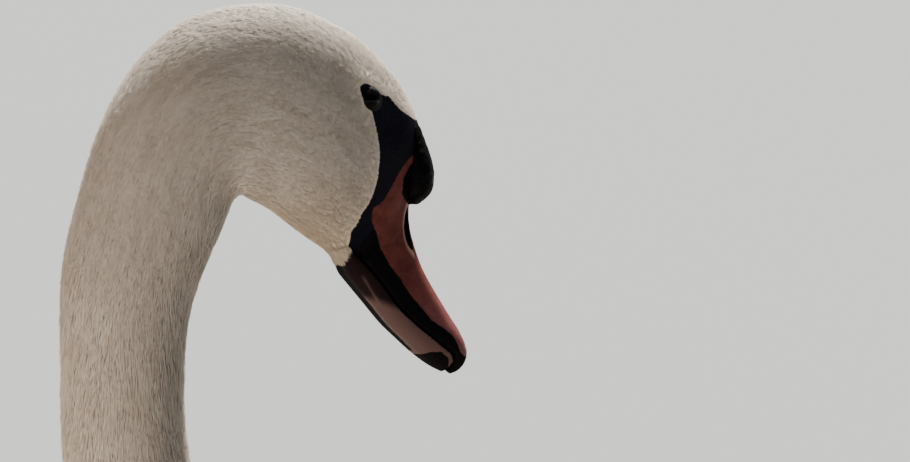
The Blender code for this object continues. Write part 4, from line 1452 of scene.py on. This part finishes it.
def makeChinCoat(material):
    # the down that runs from the chin on to the root of the lower bill
    look = chinCoat
    s, under = np.linspace(0, look["reach"], look["along"]), np.linspace(0, math.pi, look["round"])
    lastRow, lastCol = look["along"] - 1, look["round"] - 1
    points = lowerBill(s, under)[0]
    normals = gridNormals(points, around=False)
    downwards = np.array([-0.8, 0, -0.6])
    normals *= np.sign(normals[look["along"] // 2, look["round"] // 2] @ downwards)
    row, col = staggered(points, 0, lastRow, lambda r: look["gap"], wrap=False)
    # a wedge, longest in the middle of the underside
    edge = look["reach"] * (0.10 + 0.90 * np.sin(math.pi * col / lastCol) ** 0.8)
    keep = row / lastRow * look["reach"] < edge
    row, col = row[keep], col[keep]
    point, normal = sampled(points, row, col, wrap=False), unit(sampled(normals, row, col, wrap=False))
    flow = unit(sampled(-np.gradient(points, axis=0), row, col, wrap=False))
    size = np.array(look["size"])[None] * (1 - 0.35 * (row / lastRow)[:, None])
    place = np.stack([col / lastCol, row / lastRow, 0 * row], -1)
    roots = {"point": point + normal * look["raised"], "normal": normal, "flow": flow, "size": size,
             "root": np.clip(place, 0.003, 0.997), "tone": rng.uniform(-0.6, 0.6, len(row))}
    makeCoat("coat_chin", tufts, material, roots, look, look["seed"])


makeTuftCoat(plumage, headCoat)
makeChinCoat(plumage)
makeTuftCoat(plumage, neckCoat)


# long feathers, each lofted along its own path over the wing or the tail

featherLook = {
    "steps": 12, "thick": 0.0005, "wobble": 0.03,
    # the section, by half widths and thicknesses
    "ring": ((-1, -1.0), (-0.5, 0.25), (0, 1.0), (0.5, 0.25), (1, -1.0), (0, -1.6)),
}
# the steps along a feather, closer near its tip
featherAt = 1 - (1 - np.linspace(0, 1, featherLook["steps"])) ** 1.5


def featherMesh(name, paths, normals, halves, lengths, roots, cup, tones, material, skew=0.0):
    # paths and normals hold three numbers for each feather and step; halves is the half width at each step
    look = featherLook
    count, steps = paths.shape[:2]
    tangent = unit(np.gradient(paths, axis=1))
    across = unit(np.cross(tangent, normals))
    up = np.cross(across, tangent)
    ring = np.array(look["ring"])
    u = ring[:, 0][None, None, :, None]
    shift = np.where(u < 0, 1 - skew, 1 + skew)
    lift = ring[:, 1][None, None, :, None] * look["thick"]
    width = halves[:, :, None, None]
    verts = paths[:, :, None] + across[:, :, None] * u * width * shift
    verts = verts + up[:, :, None] * (lift - cup * np.abs(u) ** 1.5 * width)
    wobble = rng.uniform(-1, 1, (count, steps, 2))
    for i, edge in enumerate((0, 4)):  # the two edges of the vane waver a little
        verts[:, :, edge] += across * (wobble[..., i] * look["wobble"] * halves)[..., None]
    sides = len(ring)
    index = np.arange(count * steps * sides).reshape(count, steps, sides)
    low, high = index[:, :-1], index[:, 1:]
    quads = np.stack([low, np.roll(low, -1, 2), np.roll(high, -1, 2), high], -1).reshape(-1, 4)
    ends = np.concatenate([index[:, 0, ::-1].reshape(-1, sides), index[:, -1].reshape(-1, sides)])
    mesh = bpy.data.meshes.new(name)
    mesh.from_pydata(verts.reshape(-1, 3).tolist(), [], quads.tolist() + ends.tolist())
    s = featherAt[None, :, None] * np.ones((count, 1, sides))
    uAll = ring[:, 0][None, None] * np.ones((count, steps, 1))
    first, second = (roots[:, i][:, None, None] for i in (0, 1))
    place = np.stack([first + uAll * bakePatch / 2, second + (s - 0.5) * bakePatch], -1)
    loops = np.empty(len(mesh.loops), np.int32)
    mesh.loops.foreach_get("vertex_index", loops)
    layer = mesh.uv_layers.new(name="OFBake")
    layer.data.foreach_set("uv", place.reshape(-1, 2)[loops].astype(np.float32).ravel())
    vane = np.stack([uAll * halves[:, :, None], s * lengths[:, None, None], 0 * s], -1)
    setMark(mesh, "vane", vane.reshape(-1, 3))
    setMark(mesh, "tone", np.repeat(tones, steps * sides))
    mesh.polygons.foreach_set("use_smooth", np.ones(len(mesh.polygons), bool))
    mesh.update()
    made = addPiece(name, mesh, material)
    pieces.append((made, "plumage"))
    print(name, count, "feathers,", len(mesh.polygons), "faces")
    return made


def featherShape(broad, tip):
    # half width along a feather: narrow root, broad middle, rounded or pointed tip
    s = featherAt
    root = np.clip(s / broad, 0, 1) ** 0.55
    end = np.sqrt(np.clip(1 - np.clip((s - tip) / (1 - tip), 0, 1) ** 2.4, 0.0, 1))
    return 0.14 + 0.86 * root * (end * 0.98 + 0.02) - 0.13 * (1 - end)


wingFeathers = {
    # rows from one distance behind the crown to another; length and width in mm at the distances sizeAt;
    # ahead of the distance shoulder they go on over the shoulder feathers
    "coverts": {"from": 0.036, "to": 0.400, "shoulder": 0.215, "across": 180, "along": 120,
                "sizeAt": (0.03, 0.12, 0.22, 0.32, 0.42), "length": (22, 32, 46, 66, 84),
                "width": (17, 22, 28, 34, 38), "gap": 0.56, "lift": 0.0045, "cup": 0.11, "reach": 0.10},
    # from the first feather to the last: share across the wing, root back from the crown, length, and
    # spread downwards over the length; then width, height of one over the next, height of them all and
    # where the tip begins to round
    "primaries": {"number": 8, "share": (0.78, 0.36), "root": (0.40, 0.415), "length": (0.155, 0.205),
                  "drift": (-0.22, -0.08), "width": 0.034, "stack": 0.0006, "base": -0.001, "tip": 0.72},
    "secondaries": {"number": 10, "share": (0.38, 0.97), "root": (0.33, 0.25), "length": (0.205, 0.155),
                    "drift": (-0.05, -0.02), "width": 0.046, "stack": 0.0008, "base": 0.001, "tip": 0.78},
    "tertials": {"number": 7, "share": (0.02, 0.40), "root": (0.245, 0.33), "length": (0.215, 0.195),
                 "drift": (0.03, 0.0), "width": 0.050, "stack": 0.0007, "base": 0.003, "tip": 0.70},
}
wingTip = 0.622  # how far behind the crown the wing's own surface ends


def wingNormals(side, back, share, reach):
    # the outer face's normals; reach spreads each over the bend at the wing's upper edge
    along = wingPoints(side, back + 0.002, share, 0.0) - wingPoints(side, back - 0.002, share, 0.0)
    above = share - np.where(share < 0, 2.5, 1.0) * reach
    down = wingPoints(side, back, share + reach, 0.0) - wingPoints(side, back, above, 0.0)
    return unit(np.cross(down, along)) * side


def layFeathers(name, side, rows, heights, cup, material, shape, skew=0.0, reach=0.002):
    # feathers over the wing from their roots backwards; rows holds each one's root, share, length, width
    # and drift, and heights are those of root and tip over the bed
    back, share, length, width, drift = rows
    low, high = heights
    steps, s = featherLook["steps"], featherAt[None]
    backs = back[:, None] + length[:, None] * s
    shares = share[:, None] + drift[:, None] * s ** 1.5
    flat = np.minimum(backs, wingTip).ravel(), shares.ravel()
    points = wingPoints(side, *flat, 0.0).reshape(len(back), steps, 3)
    normals = wingNormals(side, *flat, reach).reshape(len(back), steps, 3)
    height = low[:, None] + (high - low)[:, None] * (1 - (1 - s) ** 1.7) - wingLook["bed"]
    points = points + normals * height[..., None]
    points[..., 0] -= np.maximum(0, backs - wingTip)
    halves = width[:, None] / 2 * shape[None]
    roots = np.stack([0.5 + 0.49 * share, np.clip(back / 0.63, 0.004, 0.996)], -1)
    tones = rng.uniform(-0.7, 0.7, len(back))
    return featherMesh(name, points, normals, halves, length, roots, cup, tones, material, skew * side)


def makeCoverts(side, word, material):
    look = wingFeathers["coverts"]
    share = np.linspace(-0.96, 1, look["across"])
    back = np.linspace(look["from"], look["to"], look["along"])
    grid = wingGrid(side, back, share, 0.0)

    def placeOf(row):
        return np.interp(row, np.arange(len(back)), back)

    def spacing(row):
        return 0.001 * look["gap"] * np.interp(placeOf(row), look["sizeAt"], look["width"])

    row, col = staggered(grid, 0, len(back) - 1, spacing, 0.16, wrap=False)
    at, across = placeOf(row), np.interp(col, np.arange(len(share)), share)
    keep = (across > 0) | (at < look["shoulder"])
    at, across = at[keep], across[keep]
    grow = rng.uniform(0.92, 1.08, len(at))
    length = 0.001 * np.interp(at, look["sizeAt"], look["length"]) * grow
    width = 0.001 * np.interp(at, look["sizeAt"], look["width"]) * grow
    lift = np.clip(0.085 * length, 0.0018, look["lift"])
    rows = at, across, length, width, rng.uniform(-0.02, 0.02, len(at))
    shape = featherShape(0.30, 0.55)
    heights = 0 * at, lift
    layFeathers("coverts_" + word, side, rows, heights, look["cup"], material, shape, reach=look["reach"])


def makeFlight(kind, side, word, material):
    look = wingFeathers[kind]
    k = np.linspace(0, 1, look["number"])
    kept = ("share", "root", "length", "drift")
    across, at, length, drift = (np.interp(k, (0, 1), look[key]) for key in kept)
    length = length * rng.uniform(0.98, 1.02, len(k))
    rows = at, across, length, np.full(len(k), look["width"]), drift
    order = np.arange(len(k))[::-1] * look["stack"]
    heights = order - 0.001, order + look["base"] + 0.0015
    shape = featherShape(0.22, look["tip"])
    layFeathers("%s_%s" % (kind, word), side, rows, heights, 0.045, material, shape, 0.18)


def makeWing(side, material):
    word = "left" if side > 0 else "right"
    makeCoverts(side, word, material)
    for kind in ("primaries", "secondaries", "tertials"):
        makeFlight(kind, side, word, material)


tailFeathers = {
    "number": 22, "root": -0.445, "rootY": 0.058, "tip": -0.688, "tipY": 0.052, "rounding": 0.080,
    "width": 0.030, "top": (0.2070, 0.1925), "rise": 0.006, "stack": 0.010, "cup": 0.08,
}


def makeTail(material):
    look = tailFeathers
    f = np.linspace(-1, 1, look["number"])
    f = f[np.argsort(-np.abs(f), kind="stable")]
    s = featherAt[None]
    start, end = look["root"], look["tip"] + look["rounding"] * np.abs(f) ** 2.0
    x = crownX + start + (end[:, None] - start) * s
    y = f[:, None] * (look["rootY"] * (1 - s) + look["tipY"] * s)
    first, last = look["top"]
    z = first + look["rise"] + (last - first - look["rise"]) * s ** 0.8
    z = z - look["stack"] * np.abs(f)[:, None] ** 1.5
    z = z + 0.0003 * np.arange(len(f))[:, None] / 3
    paths = np.stack([x, y, z + 0 * x], -1)
    normals = unit(np.stack([0 * x, f[:, None] * 0.25 + 0 * x, 1 + 0 * x], -1))
    halves = look["width"] / 2 * featherShape(0.25, 0.74)[None] * np.ones((len(f), 1))
    roots = np.stack([0.5 + 0.48 * f, 0.1 + 0 * f], -1)
    tones = rng.uniform(-0.6, 0.6, len(f))
    lengths = start - end
    return featherMesh("tail_feathers", paths, normals, halves, lengths, roots, look["cup"], tones, material)


bodyCoat = {
    "stations": (2.1, 11.35), "seed": 30, "soft": 0.72,
    "gap": ((0, 3, 6, 9, 11.4), (9.0, 10.5, 11.0, 9.5, 7.0)),
    "length": ((0, 3, 6, 9, 11.4), (36.0, 42.0, 42.0, 36.0, 26.0)),
    "width": ((0, 3, 6, 9, 11.4), (22.0, 25.0, 25.0, 22.0, 16.0)),
    "rise": 0.85, "yaw": 4, "roll": 3, "jitter": 0.10,
}


def makeBodyCoat(material):
    # contour feathers on breast, belly and back, but not where the wings lie over them
    look, roots = bodyCoat, coatRoots(bodyCoat)
    back = crownX - roots["point"][:, 0]
    row = wingAt(np.clip(back, 0.028, 0.625))
    wide = np.abs(roots["point"][:, 1]) / row[:, 2]
    angle = np.degrees(np.arctan2(wide, (roots["point"][:, 2] - row[:, 3]) / (row[:, 1] - row[:, 3])))
    under = (back > 0.062) & (back < 0.575) & (angle > row[:, 5] + 9) & (angle < row[:, 6] - 13)
    left = roots["side"] >= 0
    for i, (word, half) in enumerate((("left", left), ("right", ~left))):
        kept = chosen(roots, half & ~under)
        makeCoat("coat_body_" + word, vanes, material, kept, look, look["seed"] + i, look["soft"])


makeBodyCoat(plumage)
makeTail(plumage)
for side in (1, -1):
    makeWing(side, plumage)

for piece, slot in pieces:
    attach(piece, "root")

print("all pieces ride on the frame")
